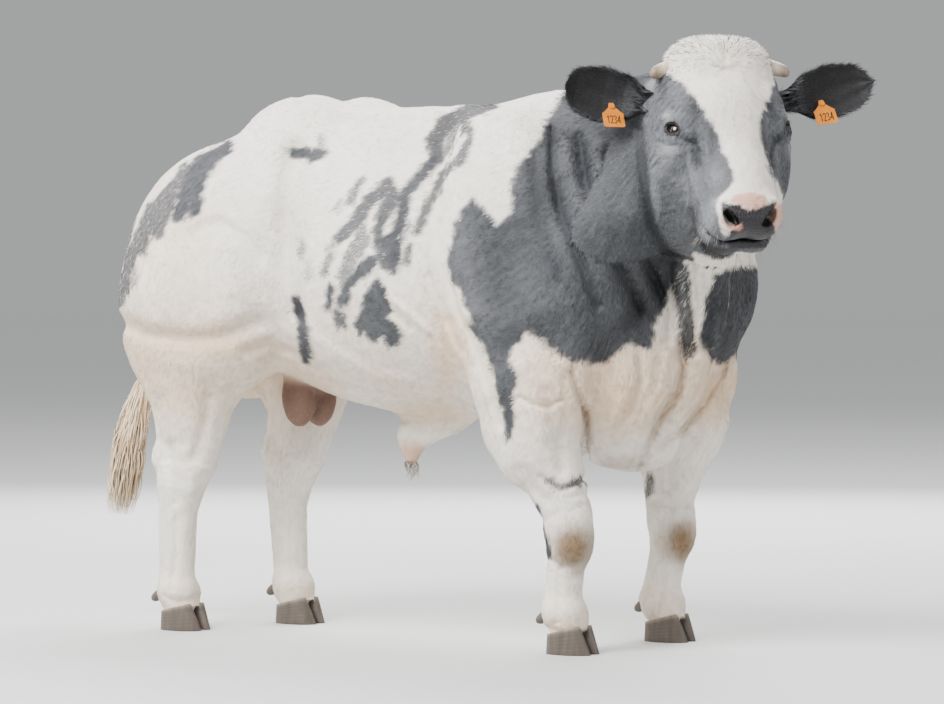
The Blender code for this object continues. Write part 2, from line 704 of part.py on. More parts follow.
def ear(name, side):
    """The curled leaf as a closed solid: its back, its inner face and the rim between."""
    rows, columns = 10, 9
    backs, inners = [], []
    for row in range(rows):
        t = 1 - (1 - row / (rows - 1)) ** 1.25
        for column in range(columns):
            v = 2 * column / (columns - 1) - 1
            backs.append(ear_point(side, t, v, 0.0))
            inners.append(ear_point(side, t, v, EAR_THICKNESS))
    points = np.array(backs + inners)
    shift = rows * columns
    faces = []
    for row in range(rows - 1):
        for column in range(columns - 1):
            a = row * columns + column
            quad = (a, a + 1, a + columns + 1, a + columns)
            for x, y, z in ((0, 1, 2), (0, 2, 3)):
                faces.append((quad[x], quad[y], quad[z]))
                faces.append((quad[x] + shift, quad[z] + shift, quad[y] + shift))
    border = list(range(columns))
    border += [r * columns + columns - 1 for r in range(1, rows)]
    border += [(rows - 1) * columns + c for c in range(columns - 2, -1, -1)]
    border += [r * columns for r in range(rows - 2, 0, -1)]
    for here, after in zip(border, border[1:] + border[:1]):
        faces += [(here, here + shift, after + shift), (here, after + shift, after)]
    body = new_object(name, points, faces)
    shell = bmesh.new()
    shell.from_mesh(body.data)
    bmesh.ops.recalc_face_normals(shell, faces=shell.faces[:])
    shell.to_mesh(body.data)
    shell.free()
    return body


def tag_frame(side):
    """Where the pin goes through the ear, its axis, and the panel's down and side directions."""
    root, out, opening, down, length = ear_frame(side)
    hole = ear_point(side, TAG_ALONG_EAR, TAG_ACROSS_EAR, EAR_THICKNESS / 2)
    angle = TAG_ACROSS_EAR * np.interp(TAG_ALONG_EAR, EAR_STATIONS, EAR_CURLS)
    square = opening * math.cos(angle) - down * math.sin(angle)
    slope = down * math.cos(angle) + opening * math.sin(angle)
    turn = math.radians(4.0 if side > 0 else 12.0)
    hang = slope * math.cos(turn) - out * math.sin(turn)
    return hole, square, hang, np.cross(square, hang)


def tag_panel(name, side):
    """The flat plate: a neck round the pin that widens to a rectangle with cut corners."""
    hole, opening, hang, across = tag_frame(side)
    outline = [
        (-0.010, -0.006), (-0.010, 0.006), (0.004, 0.010), (0.016, 0.022), (0.020, TAG_WIDTH / 2),
        (TAG_LENGTH - 0.014, TAG_WIDTH / 2), (TAG_LENGTH - 0.010, TAG_WIDTH / 2 - 0.004),
    ]
    outline += [(x, -y) for x, y in reversed(outline[2:])]
    rings = []
    for out in (TAG_STAND_OFF, TAG_STAND_OFF + TAG_THICKNESS):
        rings.append([hole + opening * out + hang * x + across * y for x, y in outline])
    return lofted(name, rings)


def tag_pin(name, side):
    """The pin with a button at each end."""
    hole, opening, _, _ = tag_frame(side)
    front = TAG_STAND_OFF + TAG_THICKNESS
    shaft = PIN_RADIUS
    profile = [
        (-0.0075, 0.009), (-0.0060, 0.013), (-0.0050, 0.013), (-0.0045, shaft),
        (front + 0.0010, shaft), (front + 0.0012, 0.008), (front + 0.0035, 0.007),
    ]
    return turned_profile(name, hole, opening, profile, PIN_SIDES)


def pin_hole(side):
    """A rod a little wider than the pin, to cut its hole through the ear and the panel."""
    hole, opening, _, _ = tag_frame(side)
    radius = PIN_RADIUS + GAP * 1.5
    return turned_profile("hole", hole, opening, [(-0.02, radius), (0.04, radius)], PIN_SIDES)


def coronet_height(forward):
    """Height of the hair line above the claw, rising towards the front of the foot."""
    return CORONET_HEIGHT + CORONET_SLOPE * forward


def claw(name, foot, outer):
    """One claw of a cloven hoof, a D-shaped wall from the hair line down to a flat sole."""
    rings = []
    for share in (0.0, 0.08, 0.5, 1.0):
        # share is 0 at the sole and 1 at the hair line
        half_length = 0.062 + share * (0.046 - 0.062)
        half_width = 0.0270 + share * (0.0245 - 0.0270) - (0.0015 if share == 0 else 0)
        middle = 0.026 + share * (0.013 - 0.026)
        ring = []
        for step in range(14):
            angle = 2 * math.pi * step / 14
            x = middle + half_length * math.cos(angle)
            bulge = math.sin(angle)
            y = CLAW_MIDDLE + half_width * bulge * (1.0 if bulge > 0 else 0.92)
            y -= 0.010 * max(0.0, math.cos(angle)) ** 3 * (1 - share)
            top = coronet_height(x) - GAP
            ring.append((foot[0] + x, foot[1] + outer * y, share * top))
        rings.append(ring)
    return lofted(name, rings)


def dewclaw(name, foot, outer):
    """A small horn cone behind the fetlock, pointing back and down."""
    start = np.array([foot[0] - 0.030, foot[1] + outer * 0.024, 0.102])
    axis = np.array([-0.80, outer * 0.25, -0.55])
    profile = [(0, 0.015), (0.024, 0.015), (0.036, 0.010), (0.042, 0.004)]
    return turned_profile(name, start, axis, profile, 8)


def leg(name, forms, split_height):
    """The part of the flesh in one leg's box, in two lengths, down to the hair line."""
    foot_x, foot_y = FEET[name]
    split = (UP, split_height)
    coronet = ((CORONET_SLOPE, 0, -1), CORONET_SLOPE * foot_x - CORONET_HEIGHT)
    lengths = []
    for part, bottom, top, cuts, triangles in (
        ("upper", split_height - 0.05, 0.70, [reversed_plane(split)], LEG_TRIANGLES),
        ("lower", 0.0, split_height + 0.05, [split, coronet], LEG_TRIANGLES * 3 // 4),
    ):
        low = (foot_x - 0.26, foot_y - 0.20, bottom)
        high = (foot_x + 0.26, foot_y + 0.24, top)
        body = flesh(f"{name}_{part}", forms, low, high, LEG_CELL, triangles)
        kept_within(body, LEG_BOXES[name] + cuts)
        lengths.append(body)
    return lengths


def switch_middle(t):
    """Middle of the switch from its root at 0 to its tip at 1."""
    return SWITCH_TOP + np.array([-0.050 * t, -0.045 * math.sin(1.8 * t), -SWITCH_LENGTH * t])


def lock(name, angle, root, tip, spread, twist, width):
    """A flat, tapered lock whose middle line leaves the core, swells out and falls back in."""
    rings = []
    for step in range(LOCK_STEPS):
        share = step / (LOCK_STEPS - 1)
        swell = math.sin(math.pi * min(1.0, share * 1.25) / 2) * (1 - 0.45 * share**2)
        out = LOCK_ROOT_OUT + (spread - LOCK_ROOT_OUT) * swell
        bearing = angle + twist * share
        outward = np.array([math.cos(bearing), math.sin(bearing), 0])
        sideways = np.array([-math.sin(bearing), math.cos(bearing), 0])
        if share < LOCK_WIDEST:
            half = width * (0.55 + 0.9 * share)
        else:
            half = width * (1 - (share - LOCK_WIDEST) / (1 - LOCK_WIDEST)) ** 0.8 + 0.0012
        thick = 0.0050 * (1 - share) + 0.0010
        centre = switch_middle(root + (tip - root) * share) + outward * out
        across, through = sideways * half, outward * thick
        rings.append([centre + across, centre + through, centre - across, centre - through])
    return lofted(name, rings)


def tail_switch():
    """A core from the dock with the locks overlapping round it, joined to one solid."""
    draw = np.random.default_rng(7)
    angles = np.arange(8) * 2 * math.pi / 8
    circle = np.stack([np.cos(angles), np.sin(angles), 0 * angles], 1)
    profile = [(0.0, 0.022), (0.10, 0.030), (0.34, 0.044), (0.58, 0.028), (0.66, 0.006)]
    rings = [switch_middle(t) + circle * radius for t, radius in profile]
    core = lofted("tail_switch", rings)
    locks = bpy.data.collections.new("locks")
    bpy.context.scene.collection.children.link(locks)
    for number in range(SWITCH_LOCKS):
        angle = 2 * math.pi * (number * GOLDEN_TURN + 0.06 * draw.random())
        root = 0.04 + 0.36 * number / SWITCH_LOCKS
        longest = number % 3 == 0
        tip = 0.94 + 0.06 * draw.random() if longest else root + 0.42 + 0.14 * draw.random()
        spread = 0.040 + 0.022 * draw.random()
        twist = 0.5 * (draw.random() - 0.5)
        width = 0.0175 + 0.006 * draw.random()
        body = lock(f"lock_{number}", angle, root, min(1.0, tip), spread, twist, width)
        bpy.context.scene.collection.objects.unlink(body)
        locks.objects.link(body)
    union = core.modifiers.new("locks", "BOOLEAN")
    union.operation = "UNION"
    union.operand_type = "COLLECTION"
    union.collection = locks
    union.solver = "EXACT"
    bpy.context.view_layer.update()
    apply_modifiers(core)
    for body in list(locks.objects):
        discard(body)
    bpy.data.collections.remove(locks)
    keep_largest(core)
    return core


def finish(name, colour, roughness, coat=0.0):
    """A Principled material."""
    material = bpy.data.materials.new(name)
    material.use_nodes = True
    shader = material.node_tree.nodes["Principled BSDF"]
    shader.inputs["Base Color"].default_value = (*colour, 1)
    shader.inputs["Roughness"].default_value = roughness
    shader.inputs["Metallic"].default_value = 0.0
    shader.inputs["Coat Weight"].default_value = coat
    material.diffuse_color = (*colour, 1)
    return material


def settle(body, holder, material):
    """Origin to the middle of the node's box, placed by its location under the holder."""
    body.data.materials.clear()
    body.data.materials.append(material)
    corners = np.array([vertex.co for vertex in body.data.vertices])
    middle = Vector((corners.min(0) + corners.max(0)) / 2)
    body.data.transform(Matrix.Translation(-middle))
    body.location = middle - Vector((CENTRE_X, CENTRE_Y, 0))
    body.parent = holder
    body.data.shade_smooth()
    body.data.set_sharp_from_angle(angle=math.radians(40))


def main():
    for old in list(bpy.data.objects):
        bpy.data.objects.remove(old)
    forms = flesh_forms()
    white = finish("white_coat", (0.80, 0.76, 0.70), 0.75)
    blue = finish("blue_coat", (0.22, 0.24, 0.27), 0.75)
    dark = finish("dark_ear", (0.05, 0.05, 0.055), 0.8)
    skin = finish("pink_skin", (0.62, 0.44, 0.38), 0.6)
    tan = finish("switch_hair", (0.70, 0.58, 0.42), 0.8)
    horn_finish = finish("horn", (0.55, 0.50, 0.42), 0.5)
    hoof_finish = finish("hoof", (0.16, 0.14, 0.12), 0.5)
    eye_finish = finish("eye", (0.03, 0.02, 0.02), 0.08, 1.0)
    orange = finish("tag", (0.90, 0.42, 0.10), 0.4)
    made = {}

    torso, neck = torso_and_neck(forms)
    made[torso], made[neck] = white, blue
    face_solid = head(forms)
    made[face_solid] = blue
    for side, word in ((-1, "right"), (1, "left")):
        made[fitted_horn := horn(f"horn_{word}", side)] = horn_finish
        fit_against(fitted_horn, face_solid)
        leaf = ear(f"ear_{word}", side)
        fit_against(leaf, face_solid)
        fit_against(leaf, neck)
        combine(leaf, pin_hole(side), "DIFFERENCE")
        keep_largest(leaf)
        made[leaf] = dark
        panel = tag_panel(f"tag_{word}", side)
        combine(panel, pin_hole(side), "DIFFERENCE")
        made[panel] = orange
        made[tag_pin(f"tag_pin_{word}", side)] = orange
    for side, word in ((-1, "right"), (1, "left")):
        combine(face_solid, eyeball("socket", side, EYE_RADIUS + GAP * 1.5), "DIFFERENCE")
        made[eyeball(f"eye_{word}", side, EYE_RADIUS)] = eye_finish
    keep_largest(face_solid)

    for name, foot in FEET.items():
        fore = name.startswith("fore")
        split = FORELEG_SPLIT if fore else HINDLEG_SPLIT
        upper, lower = leg(name, forms, split)
        made[upper], made[lower] = white, white
        for outer, place in ((-1, "right"), (1, "left")):
            made[claw(f"claw_{name}_{place}", foot, outer)] = hoof_finish
            spur = dewclaw(f"dewclaw_{name}_{place}", foot, outer)
            fit_against(spur, lower)
            made[spur] = hoof_finish

    low, high = (-0.97, -0.10, 0.60), (-0.70, 0.08, 1.28)
    tail = flesh("tail", tail_forms(), low, high, TAIL_CELL, TAIL_TRIANGLES)
    kept_within(tail, [(DOWN, -0.68)])
    fit_against(tail, torso)
    low, high = (-0.10, -0.11, 0.40), (0.22, 0.11, 0.70)
    sheath = flesh("sheath", sheath_forms(), low, high, TAIL_CELL, TAIL_TRIANGLES)
    fit_against(sheath, torso)
    low, high = (-0.46, -0.13, 0.50), (-0.24, 0.13, 0.86)
    scrotum = flesh("scrotum", scrotum_forms(), low, high, TAIL_CELL, TAIL_TRIANGLES)
    for neighbour in [torso] + [b for b in made if b.name.startswith("hindleg")]:
        fit_against(scrotum, neighbour)
    made[tail], made[sheath], made[scrotum] = white, skin, skin
    made[tail_switch()] = tan

    holder = bpy.data.objects.new("bull", None)
    bpy.context.scene.collection.objects.link(holder)
    for body, material in made.items():
        settle(body, holder, material)


if __name__ == "__main__":
    main()
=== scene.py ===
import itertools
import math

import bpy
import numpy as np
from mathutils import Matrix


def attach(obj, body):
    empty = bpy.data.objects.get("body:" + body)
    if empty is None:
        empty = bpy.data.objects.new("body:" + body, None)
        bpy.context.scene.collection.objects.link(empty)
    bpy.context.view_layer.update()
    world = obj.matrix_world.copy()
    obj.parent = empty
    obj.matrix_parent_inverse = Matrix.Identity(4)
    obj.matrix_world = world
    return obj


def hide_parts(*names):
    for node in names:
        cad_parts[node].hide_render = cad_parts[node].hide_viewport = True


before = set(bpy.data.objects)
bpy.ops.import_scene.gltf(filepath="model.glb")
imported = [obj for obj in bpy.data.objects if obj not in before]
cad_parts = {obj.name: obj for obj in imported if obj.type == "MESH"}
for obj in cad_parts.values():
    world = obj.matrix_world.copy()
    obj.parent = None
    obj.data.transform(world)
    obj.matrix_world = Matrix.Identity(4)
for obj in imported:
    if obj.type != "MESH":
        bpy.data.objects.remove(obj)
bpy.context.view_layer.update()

# The looks of a life-size standing Belgian Blue bull, its head turned to its right.
#
# Units are metres. +X is forward along the trunk, +Y the animal's left and +Z up. The body is
# worked out about the middle of the trunk and moved by -CENTRE as each piece is made, which
# brings it into the frame of the solids.

CENTRE = np.array([0.1426, 0.0104, 0.0])
UP = np.array([0.0, 0.0, 1.0])

# The photograph's standpoint
VIEW_TURN = math.radians(32.0)
RIGHTWARD = np.array([math.cos(VIEW_TURN), math.sin(VIEW_TURN), 0.0])
INWARD = np.array([-math.sin(VIEW_TURN), math.cos(VIEW_TURN), 0.0])
EYE_POINT = 0.148 * RIGHTWARD - 11.1 * INWARD + 1.05 * UP
FOCAL = 4180.0
FRAME_WIDTH, FRAME_HEIGHT = 944, 704
VIEW_DIP = math.atan(112 / FOCAL)
FORWARD = INWARD * math.cos(VIEW_DIP) - UP * math.sin(VIEW_DIP)
UPWARD = np.cross(RIGHTWARD, FORWARD)

# Head
POLL = np.array([0.981, -0.127, 1.53])
HEAD_YAW = math.radians(-42.0)
HEAD_PITCH = math.radians(-54.0)
HEAD_ROLL = math.radians(2.0)
EYE_RADIUS = 0.0215
EYE_PLACE = (0.213, 0.131, -0.066)
# The planes behind the head, in its own axes, and through the base of the neck: normal and offset
HEAD_BACK = (np.array([0.555, 0.0, 0.832]), 0.111)
NECK_BASE = (np.array([0.877, 0.0, 0.481]), 1.1215)
# The whorl's place along the forehead
WHORL = 0.065

# Ears and tags
EAR_HALF_WIDTH = 0.074
EAR_STATIONS = (0.0, 0.18, 0.38, 0.58, 0.76, 0.88, 0.96, 1.0)
EAR_WIDTHS = (0.56, 0.68, 0.92, 1.0, 0.92, 0.72, 0.42, 0.08)
EAR_CURLS = (2.3, 1.65, 0.98, 0.8, 0.7, 0.6, 0.5, 0.4)
EAR_THICKNESS = 0.0052

# Feet and switch
CORONET_HEIGHT = 0.058
CORONET_SLOPE = 0.25
CLAW_MIDDLE = 0.0295
HAIR_OVERLAP = 0.007
SWITCH_TOP = np.array([-0.8795, -0.0195, 0.6785])
SWITCH_LENGTH = 0.385
FEET = {
    "foreleg_right": (0.59, -0.22),
    "foreleg_left": (0.632, 0.21),
    "hindleg_right": (-0.635, -0.2),
    "hindleg_left": (-0.482, 0.124),
}

# The hole in the skin for an eye, half its length, height and depth, and where it faces in the head
EYE_OPENING = (0.0235, 0.0165, 0.016)
EYE_LOOK = (0.08, 0.76, 0.64)
EYE_SLANT = (0.74, 0.67)
# The eyeball in the scene, and how far out of the solid's middle it stands
EYEBALL_RADIUS = 0.0235
EYEBALL_SHIFT = 0.0032
# The eyelids: half the gap's length and its heights above and below, and half the lids' own reach
LID_GAP = (0.0185, 0.0122, 0.009)
LID_REACH = (0.0345, 0.0265)
# The nostrils: place, half length, width and depth, and tilt in degrees
NOSTRIL_PLACE = (0.487, 0.051, -0.061)
NOSTRIL_SIZE = (0.03, 0.024, 0.013)
NOSTRIL_ROLL = 38
# The line of the mouth: how far it lies out of the forehead at the lips' front, how that changes
# along, and the middle, size and depth of the groove
MOUTH_FRONT = 0.487
MOUTH_HEIGHT = -0.157
MOUTH_SLOPE = 0.12
MOUTH_PLACE = (0.497, 0, MOUTH_HEIGHT)
MOUTH_SIZE = (0.052, 0.13, 0.0055)
MOUTH_DEPTH = 0.01

# Lamps: name, watts, side, bearing from the standpoint in degrees and height
LAMPS = [
    ("key", 800.0, 4.0, -38.0, 5.5),
    ("over", 480.0, 4.0, 150.0, 7.5),
    ("fill", 100.0, 6.0, 60.0, 2.6),
    ("back", 260.0, 5.0, 175.0, 3.5),
    ("left", 200.0, 6.0, -110.0, 3.5),
]
FLOOR_RADIUS = 400.0

# How many hairs: on each ear, at each eye, on the muzzle, at the sheath and in the switch
EAR_HAIRS = 12000
UPPER_LASHES, LOWER_LASHES = 44, 20
WHISKERS = 90
SHEATH_HAIRS = 46
SWITCH_STRANDS = 900

# The coat's depth, the grid's cells and about how many triangles the skin has
COAT_DEPTH = 0.0035
BODY_CELL = 0.0115
HEAD_CELL = 0.005
MUZZLE_CELL = 0.0036
SKIN_TRIANGLES = 196000

# Colours, as the share of light sent back
WHITE_HAIR = (0.8, 0.745, 0.68)
DARK_HAIR = np.array([0.034, 0.036, 0.041])
PALE_BLUE = (0.42, 0.43, 0.45)
CREAM = (0.68, 0.5, 0.35)
TAN = (0.225, 0.145, 0.08)
PINK_SKIN = (0.62, 0.32, 0.23)
SCROTUM_SKIN = (0.2, 0.125, 0.095)
SHEATH_SKIN = (0.6, 0.42, 0.33)
LEATHER_SKIN = (0.024, 0.022, 0.027)
# Dark skin of the nostrils and the lids, also used as painted shade in the nostrils' hollows, the mouth's
# groove and crease, and the lids' fold.
NOSTRIL_SKIN_AND_SHADE = (0.012, 0.007, 0.007)
DARK_SKIN_AND_CREASE_SHADE = (0.035, 0.032, 0.036)
EAR_LINING = (0.02, 0.018, 0.019)
HORN_BASES = {"right": (0.56, 0.45, 0.34), "left": (0.4, 0.34, 0.28)}
HORN_TIP = (0.16, 0.115, 0.085)
EYE_WHITE = (0.42, 0.36, 0.32)
EYE_IRIS = (0.03, 0.017, 0.01)
EYE_PUPIL = (0.004, 0.004, 0.006)
LASH_HAIR = (0.02, 0.018, 0.018)
WHISKER_HAIR = (0.6, 0.55, 0.48)
SHEATH_HAIR = ((0.42, 0.33, 0.24), (0.1, 0.075, 0.055))
SWITCH_HAIR = ((0.74, 0.64, 0.5), (0.56, 0.42, 0.28))
CLAW_HORN = ((0.115, 0.095, 0.08), (0.3, 0.25, 0.2))
DEWCLAW_HORN = (0.13, 0.11, 0.095)
TAG_PLASTIC = ((0.5, 0.16, 0.02, 1), (0.68, 0.27, 0.05, 1))
TAG_INK = (0.02, 0.016, 0.014)


def smooth(x):
    """0 below 0, 1 above 1 and 3x^2 - 2x^3 between."""
    x = np.clip(x, 0.0, 1.0)
    return x * x * (3.0 - 2.0 * x)


def turned(yaw, pitch, roll=0.0):
    """The forward, left and up axes as columns, after yaw, pitch and roll in turn."""
    cy, sy, cp, sp, cr, sr = (f(a) for a in (yaw, pitch, roll) for f in (math.cos, math.sin))
    about_up = np.array([[cy, -sy, 0], [sy, cy, 0], [0, 0, 1]])
    about_left = np.array([[cp, 0, -sp], [0, 1, 0], [sp, 0, cp]])
    about_forward = np.array([[1, 0, 0], [0, cr, -sr], [0, sr, cr]])
    return about_up @ about_left @ about_forward


HEAD_AXES = turned(HEAD_YAW, HEAD_PITCH, HEAD_ROLL)


def wobble(points, scale, seed, waves=9):
    """A smooth random field in about -1 to 1: the mean of sines along random ways, `scale` long."""
    draw = np.random.default_rng(seed)
    ways = draw.normal(size=(waves, points.shape[1]))
    ways *= 2 * math.pi / scale / np.linalg.norm(ways, axis=1)[:, None]
    ways *= draw.uniform(0.7, 1.5, (waves, 1))
    phase = draw.uniform(0, 2 * math.pi, waves)
    return np.sin(points @ ways.T + phase).sum(1) * (1.6 / waves)


def unit(vectors):
    """Each vector divided by its own length."""
    return vectors / np.maximum(np.linalg.norm(vectors, axis=-1, keepdims=True), 1e-9)


def sided(place, side):
    """A place or direction given for the left, on the left (side 1) or mirrored to the right (-1)."""
    return np.array(place) * (1, side, 1)


def circle_angles(count):
    """Angles of `count` even steps round a full turn."""
    return np.arange(count) * 2 * math.pi / count


class Form:
    """One muscle or bone: its distance function, a ball that holds it and its blend width.

    A carved form is taken out of the flesh, with a depth only as far in as that.
    """

    def __init__(self, measure, centre, reach, blend):
        self.measure = measure
        self.centre = np.asarray(centre, float)
        self.reach = reach
        self.blend = blend
        self.carved = False
        self.depth = None

    def joined_to(self, total, points):
        """The flesh's distance with this form added to it, or carved out of it."""
        found = self.measure(points)
        if not self.carved:
            return rounded_union(total, found, self.blend)
        if self.depth is not None:
            found = np.maximum(found, -(total + self.depth))
        return -rounded_union(-total, found, self.blend)


def ellipsoid(centre, radii, blend=0.05, pitch=0, roll=0, axes=None):
    """Distance to an ellipsoid, k0 (k0 - 1) / k1 with k0 = |p / r| and k1 = |p / r^2|.

    The angles are in degrees.
    """
    own = turned(0, math.radians(pitch), math.radians(roll))
    if axes is not None:
        own = axes @ own
    centre, radii = np.asarray(centre, float), np.asarray(radii, float)

    def measure(p):
        q = (p - centre) @ own
        k0 = np.sqrt(((q / radii) ** 2).sum(1))
        k1 = np.sqrt(((q / radii**2) ** 2).sum(1))
        return k0 * (k0 - 1) / np.maximum(k1, 1e-9)

    return Form(measure, centre, radii.max(), blend)


def limb(start, end, start_radius, end_radius, blend=0.05, flat=1.0, across=(0, 1, 0)):
    """Distance to a tapered rod from start to end.

    Its half-width along `across` is `flat` times its radius.
    """
    start, end, across = (np.asarray(v, float) for v in (start, end, across))
    across = across / np.linalg.norm(across)
    squeeze = np.eye(3) + np.outer(across, across) * (1 / flat - 1)
    a, b = start @ squeeze, end @ squeeze
    run = b - a

    def measure(p):
        q = p @ squeeze - a
        t = np.clip(q @ run / (run @ run), 0, 1)
        gap = np.sqrt(((q - t[:, None] * run) ** 2).sum(1))
        return (gap - start_radius - t * (end_radius - start_radius)) * min(1.0, flat)

    reach = np.linalg.norm(end - start) / 2 + max(start_radius, end_radius) * max(1, flat)
    return Form(measure, (start + end) / 2, reach, blend)


def pair(make, place, *rest, **named):
    """The same form on both sides, mirrored in Y."""
    x, y, z = place
    return [make((x, y, z), *rest, **named), make((x, -y, z), *rest, **named)]


def head_spot(along, left, up):
    """Place of a point given along the face from the poll, to its left and out of the forehead."""
    return POLL + HEAD_AXES @ np.array([along, left, up])


def from_head(places):
    """Rows of such places brought out of the head's axes."""
    return POLL + places @ HEAD_AXES.T


def face(place, radii, blend=0.02, pitch=0, roll=0):
    """An ellipsoid given in the head's own axes."""
    return ellipsoid(head_spot(*place), radii, blend, pitch, roll, axes=HEAD_AXES)


def face_rod(start, end, start_radius, end_radius, blend=0.02, flat=1.0):
    """A tapered rod given in the head's own axes, `flat` times as wide from side to side."""
    return limb(
        head_spot(*start), head_spot(*end), start_radius, end_radius, blend, flat, HEAD_AXES[:, 1]
    )


def trunk_forms():
    """Barrel, back, double-muscled rump and thighs, shoulders and brisket."""
    forms = [
        ellipsoid((0.075, 0, 0.98), (0.675, 0.345, 0.395), 0.06),
        ellipsoid((0.42, 0, 0.96), (0.34, 0.32, 0.42), 0.06),
        ellipsoid((-0.28, 0, 1.1), (0.42, 0.27, 0.28), 0.06),
        ellipsoid((-0.5, 0, 1.01), (0.28, 0.25, 0.27), 0.06, pitch=25),
    ]
    # Long back muscles either side of the spine
    for side in (1, -1):
        forms += [limb((-0.3, side * 0.11, 1.287), (0.42, side * 0.115, 1.29), 0.11, 0.115, 0.05)]
    for place, radii, blend, pitch in (
        # Rump: its peak, the broad slope and the seat
        ((-0.265, -0.13, 1.3), (0.17, 0.13, 0.138), 0.05, 8),
        ((-0.41, -0.165, 1.17), (0.24, 0.16, 0.155), 0.06, 30),
        ((-0.598, -0.15, 1.02), (0.172, 0.136, 0.158), 0.06, 52),
        # Thigh: the filled haunch, its outer, rear and front masses and the stifle
        ((-0.52, -0.18, 0.96), (0.275, 0.19, 0.34), 0.06, -8),
        ((-0.555, -0.235, 0.905), (0.18, 0.142, 0.225), 0.045, 4),
        ((-0.685, -0.18, 0.84), (0.128, 0.135, 0.235), 0.035, 6),
        ((-0.385, -0.235, 1.0), (0.165, 0.122, 0.235), 0.05, -12),
        ((-0.435, -0.225, 0.8), (0.12, 0.112, 0.13), 0.06, 0),
        # Point of the hip, blade of the shoulder and triceps
        ((-0.2, -0.22, 1.16), (0.13, 0.08, 0.095), 0.08, 0),
        ((0.46, -0.225, 1.08), (0.2, 0.125, 0.31), 0.06, 14),
        ((0.47, -0.255, 0.84), (0.18, 0.118, 0.19), 0.045, -10),
    ):
        forms += pair(ellipsoid, place, radii, blend, pitch=pitch)
    # Points of the shoulders and upper arms
    forms += [
        ellipsoid((0.625, -0.215, 0.89), (0.14, 0.142, 0.2), 0.055, pitch=-15),
        ellipsoid((0.715, 0.24, 0.91), (0.16, 0.16, 0.21), 0.055, pitch=-15),
        ellipsoid((0.57, -0.265, 0.7), (0.122, 0.09, 0.155), 0.035, pitch=-10),
        ellipsoid((0.675, 0.285, 0.71), (0.13, 0.1, 0.17), 0.035, pitch=-5),
    ]
    # Breast: the two lobes and the fold of the brisket between them
    forms += [ellipsoid((0.6, 0, 0.77), (0.24, 0.23, 0.26), 0.05)]
    forms += pair(ellipsoid, (0.68, -0.105, 0.72), (0.135, 0.125, 0.2), 0.04, pitch=-10)
    forms += [limb((0.86, -0.01, 0.92), (0.74, -0.005, 0.56), 0.06, 0.052, 0.05, 0.6)]
    forms += [ellipsoid((0.63, 0, 0.555), (0.16, 0.12, 0.1), 0.06, pitch=-10)]
    return forms


def neck_forms():
    """The bull's crest, the bent column of the neck, its side muscles and the dewlap."""
    return [
        limb((0.5, 0, 1.12), (0.82, -0.05, 1.21), 0.3, 0.23, 0.07, 0.88),
        limb((0.8, -0.05, 1.21), (0.955, -0.14, 1.33), 0.23, 0.17, 0.06, 0.88),
        limb((0.4, 0, 1.295), (0.84, -0.06, 1.37), 0.125, 0.115, 0.06),
        limb((0.72, 0.2, 0.98), (0.9, 0.0, 1.25), 0.135, 0.1, 0.06),
        limb((0.64, -0.2, 1.0), (0.88, -0.21, 1.2), 0.14, 0.09, 0.06),
        limb((0.94, -0.12, 1.14), (0.85, -0.02, 0.84), 0.085, 0.075, 0.07, 0.6),
    ]


def head_forms():
    """The skull's masses in the head's own axes: poll, brow, nose, muzzle, jaw and cheeks."""
    forms = [face((0.11, 0, -0.1), (0.135, 0.15, 0.1), 0.03)]
    forms += pair(face, (0.03, 0.06, -0.036), (0.075, 0.078, 0.06), 0.05)
    forms += [face((0.026, 0, -0.034), (0.07, 0.09, 0.052), 0.04)]
    forms += pair(face, (0.12, 0.08, -0.07), (0.09, 0.078, 0.06), 0.03)
    forms += pair(face, (0.205, 0.108, -0.07), (0.062, 0.05, 0.048), 0.03)
    forms += [
        face_rod((0.2, 0, -0.095), (0.43, 0, -0.088), 0.098, 0.068, 0.03, 1.1),
        face((0.3, 0, -0.15), (0.17, 0.118, 0.09), 0.04),
    ]
    forms += pair(face, (0.36, 0.055, -0.13), (0.11, 0.053, 0.072), 0.03)
    forms += pair(face, (0.448, 0.044, -0.102), (0.054, 0.052, 0.062), 0.025)
    # Jaw, chin and cheeks
    forms += [face_rod((0.425, 0, -0.2), (0.22, 0, -0.245), 0.054, 0.088, 0.03, 1.3)]
    forms += pair(face, (0.285, 0.08, -0.225), (0.115, 0.058, 0.078), 0.04)
    forms += pair(face, (0.434, 0.044, -0.196), (0.052, 0.052, 0.046), 0.02)
    forms += pair(face, (0.195, 0.12, -0.185), (0.15, 0.064, 0.12), 0.04, pitch=-8)
    forms += [face((0.11, 0, -0.19), (0.14, 0.14, 0.12), 0.04)]
    # Lids over the eyeballs
    forms += pair(face, EYE_PLACE, (0.036, 0.0275, 0.031), 0.015)
    return forms


def eye_opening(side):
    """Middle of an eye's opening in the head's axes, and its own axes: along, lid to lid and out."""
    out = unit(sided(EYE_LOOK, side))
    around = unit(np.cross((1.0, 0.0, 0.0), out)) * side
    level = unit(np.cross(out, around)) * side
    along = unit(EYE_SLANT[0] * level + EYE_SLANT[1] * around)
    middle = sided(EYE_PLACE, side) + out * EYE_RADIUS * 0.96
    return middle, np.column_stack([along, np.cross(along, out) * side, out])


def head_hollows():
    """What is carved from the head: the eye openings, the nostrils and the line of the mouth.

    Each is an ellipsoid taken out of the flesh, the mouth's only as far in as its depth.
    """
    hollows = []
    for side in (-1, 1):
        middle, axes = eye_opening(side)
        hollows.append(ellipsoid(head_spot(*middle), EYE_OPENING, 0.003, axes=HEAD_AXES @ axes))
        hollows.append(face(sided(NOSTRIL_PLACE, side), NOSTRIL_SIZE, 0.004, roll=side * NOSTRIL_ROLL))
    lips = face(MOUTH_PLACE, MOUTH_SIZE, 0.005, pitch=7)
    lips.depth = MOUTH_DEPTH
    hollows.append(lips)
    for hollow in hollows:
        hollow.carved = True
    return hollows


